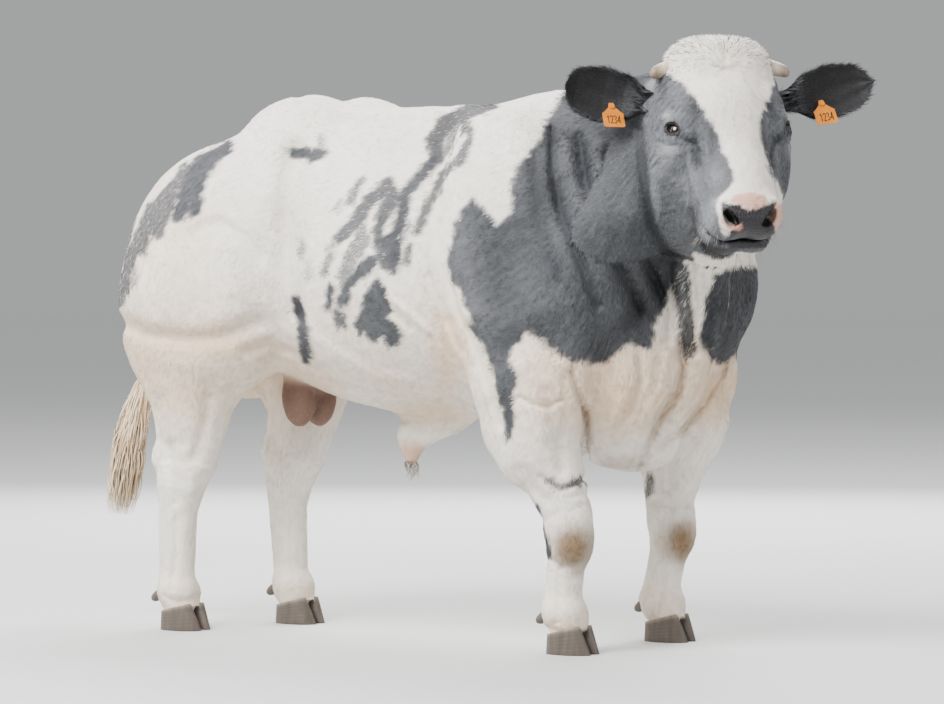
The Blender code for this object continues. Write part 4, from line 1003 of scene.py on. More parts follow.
# Folds and muscle edges in the frame's columns and rows: (line, width, depth in millimetres), a
# negative depth for a ridge
CREASES = {
    "trunk": [
        ([(296, 150), (291, 175), (288, 220), (290, 262), (297, 310)], 11, 9),
        ([(192, 236), (206, 226), (222, 224), (244, 236), (262, 256)], 8, 5),
        ([(120, 322), (148, 334), (186, 340), (222, 336), (256, 322)], 9, 9),
        ([(225, 250), (232, 280), (226, 312)], 16, -5), ([(160, 262), (150, 290), (152, 318)], 15, -4),
        ([(467, 116), (459, 165), (452, 215), (458, 262), (472, 312)], 10, -6),
        ([(449, 118), (440, 165), (432, 215), (438, 268), (452, 318)], 9, 6),
        ([(484, 150), (496, 200), (500, 250), (494, 300)], 14, 4),
        ([(470, 330), (480, 358), (490, 392), (500, 424)], 7, 7),
        ([(429, 277), (446, 320), (462, 350)], 5, 4), ([(444, 268), (458, 312), (470, 338)], 4, 3),
        ([(370, 255), (382, 280), (391, 299), (417, 321), (428, 331)], 3.5, -3.5),
        ([(364, 262), (376, 287), (386, 306), (410, 328)], 4, 2.5),
        ([(246, 352), (268, 344), (292, 352), (318, 370)], 6, 5),
        ([(300, 330), (330, 352), (368, 372), (410, 384)], 7, -4),
        ([(330, 150), (345, 200), (350, 260)], 20, -4), ([(388, 150), (396, 210), (402, 270)], 14, 3),
        ([(300, 100), (330, 118), (372, 122), (420, 118)], 7, 4),
        ([(262, 118), (272, 150), (270, 190)], 16, -4),
        ([(680, 342), (684, 366), (677, 392), (660, 415), (648, 440), (640, 462)], 4.5, 10),
        ([(669, 356), (666, 384), (650, 410), (637, 440)], 6, -6),
        ([(700, 362), (694, 388), (674, 418)], 7, -4),
        ([(726, 364), (708, 396), (684, 426), (656, 448)], 4, 7),
        ([(720, 366), (728, 390), (731, 414)], 4, 4),
        ([(640, 350), (642, 380), (630, 412), (612, 436)], 5, 6),
        ([(606, 366), (612, 392), (606, 420)], 7, 4),
    ],
    "neck": [
        ([(552, 130), (553, 170), (562, 215), (580, 262), (598, 306)], 5, 6),
        ([(566, 128), (570, 170), (580, 215), (600, 262), (620, 306)], 6, -4),
        ([(580, 136), (586, 180), (598, 222), (618, 264), (640, 308)], 5, 7),
        ([(594, 140), (600, 184), (612, 224), (632, 262), (652, 300)], 6, -4),
        ([(608, 148), (614, 190), (628, 228), (648, 264), (664, 296)], 5, 7),
        ([(626, 160), (632, 200), (646, 232), (662, 262)], 5, 5),
        ([(536, 150), (536, 190), (542, 230), (556, 280)], 7, 4),
        ([(670, 262), (672, 300), (668, 340)], 5, 6), ([(692, 262), (694, 300), (690, 350)], 5, 7),
        ([(710, 270), (712, 310), (708, 350)], 6, 5),
    ],
    "head": [
        ([(679, 138), (687, 141), (694, 145), (699, 153), (700, 165)], 3.0, 4),
        ([(659, 131), (662, 123), (669, 119), (677, 124), (683, 135)], 2.6, 2.5),
        ([(657, 127), (661, 118), (669, 113), (679, 118)], 3.0, -2.0),
        ([(660, 142), (667, 146), (676, 145)], 2.4, 2.0), ([(660, 150), (668, 154), (680, 153)], 4.0, -2.0),
        ([(690, 150), (690, 162), (694, 180), (697, 200)], 5.0, -3.5),
        ([(704, 172), (706, 190), (706, 206)], 5.0, 3.0),
        ([(642, 128), (643, 160), (647, 195), (653, 224), (666, 250), (688, 266)], 6.0, 11),
        ([(704, 249), (699, 239), (695, 226), (692, 209)], 2.6, 4),
        ([(664, 90), (668, 104), (672, 112)], 5.0, 3.0), ([(716, 206), (722, 200), (730, 199)], 2.5, -2.5),
        ([(714, 212), (718, 226), (730, 232)], 3.0, -2.0), ([(706, 214), (707, 228), (714, 240)], 4.0, 2.5),
        ([(724, 60), (724, 68)], 5.0, 1.5),
    ],
    "fore": [
        ([(571, 372), (579, 394), (587, 420), (587, 456)], 3.2, 10),
        ([(520, 398), (534, 405), (547, 407), (560, 401)], 3.5, 4),
        ([(566, 378), (566, 408), (563, 438)], 5, 3),
        ([(541, 476), (550, 484), (561, 489), (573, 486), (584, 478)], 3.2, 5),
        ([(520, 362), (538, 356), (556, 360)], 13, -5), ([(548, 392), (556, 430), (562, 470)], 6, 5),
        ([(528, 360), (536, 395), (546, 430)], 12, -5), ([(520, 470), (534, 488), (548, 500)], 6, 4),
        ([(556, 492), (570, 496), (588, 494)], 4, 2.5), ([(552, 560), (560, 566), (580, 566)], 4, 2.5),
        ([(560, 570), (558, 600), (557, 622)], 3.5, 3), ([(548, 628), (566, 634), (590, 632)], 4, 2.5),
    ],
    "far_fore": [
        ([(662, 400), (668, 440), (672, 480)], 8, 4), ([(706, 400), (704, 440), (694, 480)], 10, -4),
        ([(654, 498), (668, 502), (688, 500)], 4, 2.5), ([(664, 566), (663, 596), (660, 616)], 3.5, 3),
        ([(652, 620), (670, 626), (690, 622)], 4, 2.5),
    ],
    "hind": [
        ([(212, 380), (206, 420), (194, 458)], 7, 5), ([(160, 400), (164, 432), (166, 458)], 6, 4),
        ([(172, 444), (172, 470), (176, 502)], 5, 5), ([(188, 452), (194, 470), (192, 490)], 6, -3),
        ([(176, 520), (176, 556), (172, 588)], 3.5, 3), ([(164, 596), (178, 602), (196, 598)], 4, 2.5),
    ],
}


def coat_depth(points):
    """How far the skin lies inside the solids: the coat's depth, thinner on the face."""
    return COAT_DEPTH * (1.0 - 0.7 * head_weight(points))


def skin_forms():
    """All the flesh, with the tail, sheath and scrotum, and the hollows of the head last."""
    forms = trunk_forms() + neck_forms() + head_forms() + tail_head_forms() + tail_forms()
    for side in (-1, 1):
        forms += foreleg_forms(side) + hindleg_forms(side)
    return forms + sheath_forms() + scrotum_forms() + head_hollows()


def skin_surface(forms):
    """The blended flesh sunk by the coat's depth, thinned, evened and pressed onto its zero surface.

    The grid is finest over the muzzle and the eyes.
    """

    def measure(points, depth=None):
        depth = relief(points) if depth is None else depth
        sunk = distance(points, forms) + coat_depth(points) + depth
        return np.maximum(sunk, below_hair_line(points))

    def pressed(points, most):
        depth = relief(points)
        return pressed_on(points, lambda places: measure(places, depth), most)

    axes = [
        graded((-1.0, 0.95, BODY_CELL), (0.95, 1.13, HEAD_CELL), (1.13, 1.3, MUZZLE_CELL)),
        graded((-0.56, -0.43, HEAD_CELL), (-0.43, -0.24, MUZZLE_CELL), (-0.24, -0.02, HEAD_CELL),
               (-0.02, 0.47, BODY_CELL)),
        graded((-0.01, 1.04, BODY_CELL), (1.04, 1.19, MUZZLE_CELL), (1.19, 1.59, HEAD_CELL)),
    ]
    field = grid_distance(forms, axes) + COAT_DEPTH * 0.6
    points, faces = largest_shell(*crossing_surface(field, axes))
    points = pressed(points, BODY_CELL * 1.2)
    points, faces = thinned(points, faces, SKIN_TRIANGLES)
    for _ in range(2):
        points = pressed(evened(points, faces), BODY_CELL)
    return points, faces, unit(slope_of(points, measure, measure(points)))


def below_hair_line(points):
    """Distance down past a plane just under each foot's hair line, where the skin is closed off."""
    gap = np.full(len(points), -1.0)
    low = points[:, 2] < 0.12
    for x, y in FEET.values():
        near = low & (np.hypot(points[:, 0] - x, points[:, 1] - y) < 0.14)
        line = CORONET_HEIGHT + CORONET_SLOPE * (points[near, 0] - x) - HAIR_OVERLAP
        gap[near] = line - points[near, 2]
    return gap


def relief(points):
    """Depth of the folds and muscle edges: for each line its depth times exp(-(gap / width)^2).

    The lines lie on the near side as it shows from the standpoint, and the far side of the head
    and of the trunk takes the same ones mirrored.
    """
    on_head = head_weight(points) > 0.5
    places = near_places(points)
    x, y, z = points.T
    regions = {
        "head": on_head,
        "neck": ~on_head & (x > 0.45) & (z > 0.75),
        "trunk": ~on_head & (z > 0.45),
        "fore": ~on_head & (z < 0.75) & (x > 0.3) & (y < 0.02),
        "far_fore": ~on_head & (z < 0.75) & (x > 0.3) & (y > 0.02),
        "hind": ~on_head & (z < 0.75) & (x < -0.25),
    }
    depth = 0.0007 * wobble(points, 0.055, 71) + 0.0004 * wobble(points, 0.02, 72)
    for region, lines in CREASES.items():
        chosen = regions[region]
        depth_scale = 0.001 if region == "head" else 0.0016
        for line, width, deep in lines:
            low, high = np.min(line, 0) - 2.5 * width, np.max(line, 0) + 2.5 * width
            near = chosen & ((places > low) & (places < high)).all(1)
            gap = line_gap(places[near], line)
            depth[near] += depth_scale * deep * np.exp(-((gap / width) ** 2))
    return depth


def largest_shell(points, faces):
    """The one closed surface with the most points: labels spread over the faces until they settle."""
    label = np.arange(len(points))
    while True:
        lowest = label[faces].min(1)
        before = label.copy()
        for corner in range(3):
            np.minimum.at(label, faces[:, corner], lowest)
        label = label[label]
        if (label == before).all():
            break
    main = np.bincount(label).argmax()
    faces = faces[label[faces[:, 0]] == main]
    used, back = np.unique(faces, return_inverse=True)
    return points[used], back.reshape(-1, 3)


def thinned(points, faces, triangles):
    """The surface thinned to about this many triangles, most where it is flattest."""
    mesh = bpy.data.meshes.new("thinning")
    mesh.from_pydata(points.tolist(), [], faces.tolist())
    body = linked("thinning", mesh)
    thin = body.modifiers.new("thin", "DECIMATE")
    thin.ratio = min(1.0, triangles / len(faces))
    evaluated = body.evaluated_get(bpy.context.evaluated_depsgraph_get())
    result = bpy.data.meshes.new_from_object(evaluated)
    points = np.empty(len(result.vertices) * 3, np.float32)
    result.vertices.foreach_get("co", points)
    faces = np.empty(len(result.polygons) * 3, np.int32)
    result.polygons.foreach_get("vertices", faces)
    bpy.data.objects.remove(body)
    bpy.data.meshes.remove(mesh)
    bpy.data.meshes.remove(result)
    return points.reshape(-1, 3).astype(float), faces.reshape(-1, 3)


def mixed(a, b, share):
    """a + (b - a) times the share, for one colour or a row of them."""
    a, b = np.asarray(a, float), np.asarray(b, float)
    return a + (b - a) * np.asarray(share)[:, None]


def near_ball(points, centre, radius, soft):
    """1 inside a ball, falling to 0 over `soft` outside it."""
    return smooth((radius + soft - np.linalg.norm(points - centre, axis=1)) / soft)


# Stains, thin hair and painted shadows of the near side in the frame's columns and rows: (column,
# row, across, down, amount, colour). The tan at (622, 464), under the brisket, and the cream at
# (210, 345), under the haunch's bulge, are painted shadows.
STAINS_AND_SHADOWS = [
    (571, 546, 21, 22, 0.95, TAN), (682, 542, 13, 20, 0.95, TAN), (622, 464, 26, 8, 0.35, TAN),
    (450, 350, 20, 45, 0.75, CREAM), (300, 385, 40, 18, 0.5, CREAM), (210, 345, 60, 16, 0.6, CREAM),
    (170, 240, 40, 60, 0.3, CREAM), (620, 400, 32, 40, 0.5, CREAM), (716, 400, 18, 30, 0.45, CREAM),
    (430, 412, 40, 12, 0.6, CREAM), (190, 420, 24, 40, 0.25, CREAM), (572, 635, 24, 12, 0.4, CREAM),
]


def white_coat(points, lie, depth):
    """White hair with its cream and tan tinges: low on the haunch, at the knees and under the belly.

    It also carries painted shadows under the brisket and the haunch's bulge, and painted shade in the folds.
    """
    x, _, z = points.T
    colour = np.tile(WHITE_HAIR, (len(points), 1))
    patchy = 0.5 + 0.5 * wobble(points, 0.3, 11)
    colour = mixed(colour, CREAM, 0.45 * patchy * smooth((1.0 - z) / 0.3) * smooth((z - 0.5) / 0.1))
    above_leg = smooth((z - 0.55) / 0.1)
    colour = mixed(colour, CREAM, 0.5 * smooth((-0.25 - x) / 0.2) * smooth((0.95 - z) / 0.15) * above_leg)
    colour = mixed(colour, CREAM, 0.6 * smooth((x - 0.45) / 0.2) * smooth((0.86 - z) / 0.12) * above_leg)
    for name in ("foreleg_right", "foreleg_left"):
        knee = np.array([FEET[name][0] + 0.055, FEET[name][1], 0.262])
        colour = mixed(colour, TAN, 0.5 * near_ball(points, knee, 0.045, 0.04) * (0.75 + 0.25 * patchy))
    places = near_places(points) + 2.5 * np.stack([wobble(points, 0.03, 81), wobble(points, 0.03, 82)], 1)
    # Among these, the tan under the brisket and the cream under the haunch's bulge are painted shadows.
    for column, row, across, down, amount, tint in STAINS_AND_SHADOWS:
        gap = ((places[:, 0] - column) / across) ** 2 + ((places[:, 1] - row) / down) ** 2
        colour = mixed(colour, tint, amount * np.exp(-(gap**1.5)) * (head_weight(points) < 0.5))
    for foot in FEET.values():
        low = near_ball(points, np.array([*foot, 0.05]), 0.06, 0.08)
        colour = mixed(colour, CREAM, 0.35 * low)
    tone = 1 + 0.11 * streaks(points, lie, 0.012, 22) + 0.04 * wobble(points, 0.05, 23)
    # The folds' depth darkens the white hair: painted shade in the creases.
    return colour * (tone - 6 * np.clip(depth, -0.004, 0.014))[:, None]


def coat_colour(points, normals):
    """Colour of the skin under the coat: white and blue by the dark hairs' share, then the tints."""
    share = blue_share(points, normals)
    lie, depth = coat_lie(points, normals), relief(points)
    blue = mixed(DARK_HAIR, PALE_BLUE, paleness(points, lie, depth))
    colour = white_coat(points, lie, depth) * (1 - share)[:, None] + blue * share[:, None]
    for amount, tint in skin_tints(points, normals):
        colour = mixed(colour, tint, amount)
    return colour


def skin():
    """The skin in one piece, standing for all the flesh nodes. Returns its points, faces and normals."""
    points, faces, normals = skin_surface(skin_forms())
    flesh = ("torso", "neck", "head", "foreleg", "hindleg", "tail", "sheath", "scrotum")
    flesh_nodes = [
        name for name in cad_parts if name.split("_")[0] in flesh and name != "tail_switch"
    ]
    colours = coat_colour(points, normals)
    body = mesh_piece("skin", points, faces, skin_material(), colours, flesh_nodes)
    add_value(body.data, "leather", leather_share(points, normals))
    body.data.normals_split_custom_set_from_vertices(normals.tolist())
    return points, faces, normals


class Finish:
    """A material in the making: its shader, with short ways to add nodes and to join them."""

    def __init__(self, name, roughness, coat=0.0):
        self.material = bpy.data.materials.new(name)
        self.material.use_nodes = True
        self.tree = self.material.node_tree
        self.shader = self.tree.nodes["Principled BSDF"]
        self.shader.inputs["Roughness"].default_value = roughness
        self.shader.inputs["Coat Weight"].default_value = coat

    def add(self, kind, **values):
        """A node with these values on its inputs, an underscore standing for a space."""
        made = self.tree.nodes.new("ShaderNode" + kind)
        for name, value in values.items():
            made.inputs[name.replace("_", " ")].default_value = value
        return made

    def join(self, start, output, end, entry):
        """Joins an output of one node to an input of another."""
        self.tree.links.new(start.outputs[output], end.inputs[entry])

    def pattern(self, kind, stretch=(1, 1, 1), **values):
        """A noise or a cell pattern on Object coordinates, which `stretch` multiplies first."""
        made, mapping = self.add(kind, **values), self.add("Mapping", Scale=stretch)
        self.join(self.add("TexCoord"), "Object", mapping, "Vector")
        self.join(mapping, "Vector", made, "Vector")
        return made

    def own_colour(self):
        """The colour that a piece carries at its own points."""
        hue = self.add("VertexColor")
        hue.layer_name = "hue"
        return hue

    def overlaid(self, texture, share):
        """The piece's own colour with this share of a texture laid over it."""
        tone = self.add("MixRGB", Fac=share)
        tone.blend_type = "OVERLAY"
        self.join(self.own_colour(), "Color", tone, "Color1")
        self.join(texture, "Fac", tone, "Color2")
        self.join(tone, "Color", self.shader, "Base Color")

    def bumped(self, texture, output, strength, deep):
        """Fine relief from a texture's height, `deep` metres at its full strength."""
        bump = self.add("Bump", Strength=strength, Distance=deep)
        self.join(texture, output, bump, "Height")
        self.join(bump, "Normal", self.shader, "Normal")


def skin_material(name="short_coat"):
    """The piece's own colours, broken up at hair scale with a fine bump, and wet pebbled leather."""
    finish = Finish(name, 0.75)
    leather = finish.add("Attribute")
    leather.attribute_name = "leather"
    hairs = finish.pattern("TexNoise", Scale=420.0, Detail=3.0)
    pebbles = finish.pattern("TexVoronoi", Scale=240.0)
    finish.overlaid(hairs, 0.3)
    height = finish.add("MixRGB")
    finish.join(leather, "Fac", height, "Fac")
    finish.join(hairs, "Fac", height, "Color1")
    finish.join(pebbles, "Distance", height, "Color2")
    finish.bumped(height, "Color", 0.5, 0.002)
    gloss = finish.add("MapRange", To_Min=0.75, To_Max=0.34)
    finish.join(leather, "Fac", gloss, "Value")
    finish.join(gloss, "Result", finish.shader, "Roughness")
    return finish.material


def placed(body, right, up, back, spot):
    """Puts a camera or lamp at a spot, turned so that its own axes lie along these three."""
    rows = np.column_stack([right, up, back, spot])
    body.matrix_world = Matrix([*rows.tolist(), (0, 0, 0, 1)])


def photo_camera():
    """A camera at the photograph's standpoint, its lens from the focal length in picture widths."""
    data = bpy.data.cameras.new("photo_camera")
    data.sensor_width = 36.0
    data.lens = FOCAL / FRAME_WIDTH * data.sensor_width
    data.clip_end = 60.0
    camera = linked("photo_camera", data)
    placed(camera, RIGHTWARD, UPWARD, -FORWARD, EYE_POINT - CENTRE)
    bpy.context.scene.camera = camera


def studio_light():
    """Square lamps in a ring 5 m from the middle, each turned towards it, under an even pale sky."""
    for name, energy, size, azimuth, height in LAMPS:
        lamp = bpy.data.lights.new(name, "AREA")
        lamp.energy = energy
        lamp.size = size
        turn = VIEW_TURN + math.radians(azimuth)
        spot = np.array([math.sin(turn), -math.cos(turn), 0]) * 5.0 + height * UP
        body = linked(name, lamp)
        body.visible_camera = False
        aim = unit(0.8 * UP - spot)
        side = unit(np.cross(aim, UP))
        placed(body, side, np.cross(side, aim), -aim, spot)
    world = bpy.data.worlds.new("studio")
    world.use_nodes = True
    sky = world.node_tree.nodes["Background"]
    sky.inputs["Color"].default_value = (0.88, 0.89, 0.9, 1)
    sky.inputs["Strength"].default_value = 0.42
    bpy.context.scene.world = world
    bpy.context.scene.view_settings.look = "AgX - Medium High Contrast"


def floor():
    """A pale flat floor: one round face, wide enough to meet the sky from every side.

    Its tone goes from grey to near white between 3 m and 12 m out: painted light, where the lamps' light
    falls off.
    """
    angle = circle_angles(96)
    points = FLOOR_RADIUS * np.stack([np.cos(angle), np.sin(angle), 0 * angle], 1)
    mesh = bpy.data.meshes.new("floor")
    mesh.from_pydata(points.tolist(), [], [list(range(len(points)))])
    mesh.polygons[0].use_smooth = True
    finish = Finish("pale_floor", 0.9)
    away = finish.add("VectorMath")
    away.operation = "LENGTH"
    share = finish.add("MapRange", From_Min=3.0, From_Max=12.0)
    # Painted light: the floor is painted whiter far out, where the lamps' light falls off.
    tone = finish.add("MixRGB", Color1=(0.56, 0.57, 0.56, 1), Color2=(0.97, 0.97, 0.97, 1))
    finish.join(finish.add("TexCoord"), "Object", away, "Vector")
    finish.join(away, "Value", share, "Value")
    finish.join(share, "Result", tone, "Fac")
    finish.join(tone, "Color", finish.shader, "Base Color")
    mesh.materials.append(finish.material)
    linked("floor", mesh)


def neck_weight(points):
    """1 on the neck, 0 behind its base, in a smooth step over the plane between."""
    normal, offset = NECK_BASE
    return smooth((points @ normal - offset + 0.06) / 0.16)


def leg_weight(points):
    """1 on the legs and 0 above, in a smooth step over their height, and 0 near the middle line."""
    return smooth((0.66 - points[:, 2]) / 0.16) * (np.abs(points[:, 1]) > 0.06)


def coat_lie(points, normals, jitter=0.0):
    """Direction in which the hair lies, along the surface.

    It runs back and down over the trunk, down the legs, from the head back along the neck, and out
    from the whorl on the forehead over the face, waved by smooth noise and turned by `jitter`.
    """
    head = head_place(points)
    rearward, forward = smooth((-0.25 - points[:, 0]) / 0.4), smooth((points[:, 0] - 0.45) / 0.3)
    trunk = np.array([-0.86, 0.0, -0.42]) + np.outer(rearward, (0.36, 0, -0.5))
    trunk = trunk + np.outer(forward, (0.5, 0, -0.5))
    neck = np.array([-0.66, 0.14, -0.62])
    way = trunk + (neck - trunk) * neck_weight(points)[:, None]
    leg = np.array([0.04, 0.0, -1.0])
    way = way + (leg - way) * leg_weight(points)[:, None]
    flat = np.stack([head[:, 0] - WHORL, 1.3 * head[:, 1], 0 * head[:, 0]], 1)
    cheek = np.array([0.25, 0.0, -1.0])
    facial = unit(flat) + (cheek - unit(flat)) * smooth((-head[:, 2] - 0.09) / 0.09)[:, None]
    way = way + (facial @ HEAD_AXES.T - way) * head_weight(points)[:, None]
    side = np.cross(normals, way)
    wave = 0.35 * wobble(points, 0.07, 31) + 0.2 * wobble(points, 0.022, 32)
    way = way + side * (wave + jitter)[:, None]
    return unit(way - normals * (way * normals).sum(1)[:, None])


def scattered(points, faces, normals, density, draw):
    """Random places over a surface, `density` of them for each square metre, with their normals."""
    a, b, c = (points[faces[:, i]] for i in range(3))
    area = np.linalg.norm(np.cross(b - a, c - a), axis=1) / 2
    middle = (a + b + c) / 3
    wanted = np.cumsum(area * density(middle))
    chosen = np.searchsorted(wanted, np.sort(draw.uniform(0, wanted[-1], int(wanted[-1]))))
    s, t = draw.random((2, len(chosen)))
    over = s + t > 1
    s[over], t[over] = 1 - s[over], 1 - t[over]
    corner = faces[chosen]
    shares = np.stack([1 - s - t, s, t], 1)[..., None]
    return (points[corner] * shares).sum(1), unit((normals[corner] * shares).sum(1))


def tufts(name, roots, normals, lie, length, width, lift, colours, unwrap, material):
    """Thin closed tufts, each of three corners at its root and one at its tip.

    The tip lies `length` along the lie, raised by the angle `lift`. The corners are half a width to
    each side, sunk under the skin, and one a little above it, so that the tuft is a flat wedge.
    """
    side = np.cross(lie, normals)
    half = side * (width / 2)[:, None]
    sunk = roots - normals * 0.0012
    ridge = roots + normals * (0.12 * width)[:, None] + lie * (0.2 * length)[:, None]
    tip = roots + (lie * np.cos(lift)[:, None] + normals * np.sin(lift)[:, None]) * length[:, None]
    points = np.stack([sunk + half, sunk - half, ridge, tip], 1).reshape(-1, 3)
    first = np.arange(len(roots))[:, None] * 4
    wedge = np.array([[0, 1, 3], [1, 2, 3], [2, 0, 3], [0, 2, 1]])
    faces = (first[:, None] + wedge).reshape(-1, 3)
    # Painted shade: the corners at each tuft's root are darker and its tip a little lighter.
    shade = np.array([0.92, 0.92, 0.98, 1.03])
    hue = (colours[:, None] * shade[:, None]).reshape(-1, 3)
    body = mesh_piece(name, points, faces, material, hue)
    spread = np.stack([unit(normals + 0.35 * side), unit(normals - 0.35 * side), normals, normals], 1)
    body.data.normals_split_custom_set_from_vertices(spread.reshape(-1, 3).tolist())
    small = np.array([[-0.0015, -0.0015], [0.0015, -0.0015], [0.0, 0.0], [0.0, 0.0015]])
    corners = (0.002 + 0.996 * unwrap[:, None] + small).reshape(-1, 2)
    layer = body.data.uv_layers.new(name="OFBake")
    layer.data.foreach_set("uv", corners[faces.ravel()].astype(np.float32).ravel())


def unwrapped(points, centre, along, start):
    """Flat places round an axis: the angle from `start` in turns, and the share of the way along."""
    along = np.asarray(along, float)
    along = along / np.linalg.norm(along)
    start = unit(start - along * (start @ along))
    rel = points - centre
    angle = np.arctan2(rel @ np.cross(along, start), rel @ start) / (2 * math.pi) + 0.5
    place = rel @ along
    return np.stack([angle, (place - place.min()) / np.ptp(place)], 1)


def coat_density(points):
    """Tufts for each square metre, closer on the face and feet, none on the muzzle's leather."""
    head = head_place(points)
    on_head = head_weight(points)
    leg = leg_weight(points)
    wanted = 46000.0 + 12000.0 * leg + 4000.0 * neck_weight(points)
    wanted = wanted * (1 - on_head) + 95000.0 * on_head
    nose = smooth((head[:, 0] - 0.455) / 0.02) * smooth((0.06 - np.abs(head[:, 1])) / 0.02) * on_head
    wanted = wanted * (1 - nose * (head[:, 2] > -0.16) * (head[:, 2] < -0.05))
    for side in (-1, 1):
        middle, axes = eye_opening(side)
        local = (head - middle) @ axes
        ring = (local[:, 0] / LID_REACH[0]) ** 2 + (local[:, 1] / LID_REACH[1]) ** 2
        wanted = np.where((ring < 0.9) & (np.abs(local[:, 2]) < 0.03), 0, wanted)
    wanted = wanted * (1 - 0.85 * np.maximum(*bare_skin(points)))
    return np.where(points[:, 2] < 0.066, 0, wanted)


def bare_skin(points):
    """How bare the skin is on the scrotum, and at the end of the sheath."""
    scrotum = near_ball(points, (-0.345, 0.0, 0.6), 0.09, 0.05)
    sheath = near_ball(points, (-0.01, 0.0, 0.47), 0.03, 0.05)
    return scrotum, sheath


def coat_part(roots):
    """The part of the coat that each root belongs to."""
    x, y, z = roots.T
    side = np.where(y < 0, "_right", "_left")
    low = z < 0.6
    names = np.select([x > 0.2, x > -0.36], ["shoulder", "flank"], "rump")
    names = np.char.add(names, side)
    names = np.where(low, np.where(x > 0.2, "forelegs", "hindlegs"), names)
    names = np.where(neck_weight(roots) > 0.5, "neck", names)
    return np.where(head_weight(roots) > 0.5, "head", names)


def coat_unwrap(part, roots):
    """A place on a flat map for each root: angle round the part's own axis, and place along it."""
    if part == "head":
        return unwrapped(roots, head_spot(0, 0, -0.12), HEAD_AXES[:, 0], -HEAD_AXES[:, 2])
    if part.endswith("legs"):
        left = roots[:, 1] > 0
        middle = np.where(left[:, None], roots[left].mean(0), roots[~left].mean(0))
        angle = np.arctan2(*(roots - middle)[:, 1::-1].T) / (2 * math.pi) + 0.5
        height = (roots[:, 2] - roots[:, 2].min()) / np.ptp(roots[:, 2])
        return np.stack([(0.98 * angle + left) / 2, height], 1)
    flat = unwrapped(roots, UP, (1, 0, 0), -UP)
    flat[:, 0] = (flat[:, 0] - flat[:, 0].min()) / np.ptp(flat[:, 0])
    return flat


def tuft_colours(roots, normals, draw):
    """Each tuft's colour: white or blue, drawn by the dark hairs' share, then 85% of the tints."""
    count = len(roots)
    share = blue_share(roots, normals)
    even, depth = coat_lie(roots, normals), relief(roots)
    blue = draw.random(count) < share
    spread = 0.09 + 0.07 * head_weight(roots)
    pale = np.clip(paleness(roots, even, depth) + spread * draw.normal(size=count), 0, 1)
    white_hair = white_coat(roots, even, depth) * draw.uniform(0.9, 1.08, (count, 1))
    hue = np.where(blue[:, None], mixed(DARK_HAIR, PALE_BLUE, pale), white_hair)
    for amount, tint in skin_tints(roots, normals):
        hue = mixed(hue, tint, 0.85 * amount)
    return hue


def tuft_sizes(roots, draw):
    """Length, width and lift of each tuft by the part of the body, varied by random shares."""
    count = len(roots)
    on_head, leg, neck = head_weight(roots), leg_weight(roots), neck_weight(roots)
    head = head_place(roots)
    poll = on_head * smooth((0.13 - head[:, 0]) / 0.1) * smooth((head[:, 2] + 0.13) / 0.06)
    length = (0.012 + 0.006 * neck - 0.002 * leg) * (1 - on_head) + 0.007 * on_head + 0.009 * poll
    length = length * draw.uniform(0.7, 1.3, count)
    width = (0.0016 + 0.0002 * neck) * (1 - on_head) + 0.0012 * on_head
    width = width * draw.uniform(0.7, 1.3, count)
    lift = np.radians(5 + 3 * neck + 7 * poll) + np.radians(3) * draw.normal(size=count)
    return length, width, np.maximum(lift, math.radians(1.5))


def whole_coat(points, faces, normals):
    """The short coat over the whole skin, in pieces by part of the body."""
    draw = np.random.default_rng(5)
    roots, out = scattered(points, faces, normals, coat_density, draw)
    lie = coat_lie(roots, out, 0.14 * draw.normal(size=len(roots)))
    hue = tuft_colours(roots, out, draw)
    length, width, lift = tuft_sizes(roots, draw)
    material = coat_material("coat_tufts")
    parts = coat_part(roots)
    for part in np.unique(parts):
        here = parts == part
        tufts(
            f"coat_{part}", roots[here], out[here], lie[here], length[here], width[here],
            lift[here], hue[here], coat_unwrap(part, roots[here]), material,
        )


def coat_material(name):
    """The tufts' own colours in a soft, slightly silky finish."""
    finish = Finish(name, 0.62)
    finish.overlaid(finish.pattern("TexNoise", Scale=900.0), 0.25)
    return finish.material


def ear_frame(side):
    """Root, direction out to the tip, opening and downward directions of one ear, and its length."""
    root = head_spot(0.1, side * 0.14, -0.105)
    tip = head_spot(0.05, side * (0.418 if side > 0 else 0.388), -0.08)
    length = np.linalg.norm(tip - root)
    out = (tip - root) / length
    opening = HEAD_AXES @ np.array([0.5, side * 0.12, 0.86])
    opening = unit(opening - out * (opening @ out))
    return root, out, opening, np.cross(out, opening) * side, length


def ear_surface(side, t, v, inward):
    """The ear's curled leaf: an arc across, of a radius and curl that change from root to tip.

    t runs from the root to the tip, v from -1 at the upper rim to 1 at the lower, and inward is
    the distance in from the back of the leaf.
    """
    root, out, opening, down, length = ear_frame(side)
    curl = np.interp(t, EAR_STATIONS, EAR_CURLS)
    radius = EAR_HALF_WIDTH * np.interp(t, EAR_STATIONS, EAR_WIDTHS) / curl
    rim = np.maximum(0.0, 1 - np.abs(v)) ** 0.5
    ripple = 0.0012 * np.sin(9 * v + 4 * t) * rim + 0.0018 * np.sin(23 * t) * (1 - rim)
    arc = radius - inward * (0.3 + 0.7 * rim) + ripple
    rise = radius * 0.75 - 0.02 * t * (1 - t) * 4
    middle = root + np.multiply.outer(length * t, out) + np.multiply.outer(rise, opening)
    across = arc * np.sin(curl * v)
    deep = arc * np.cos(curl * v)
    return middle + across[..., None] * down - deep[..., None] * opening


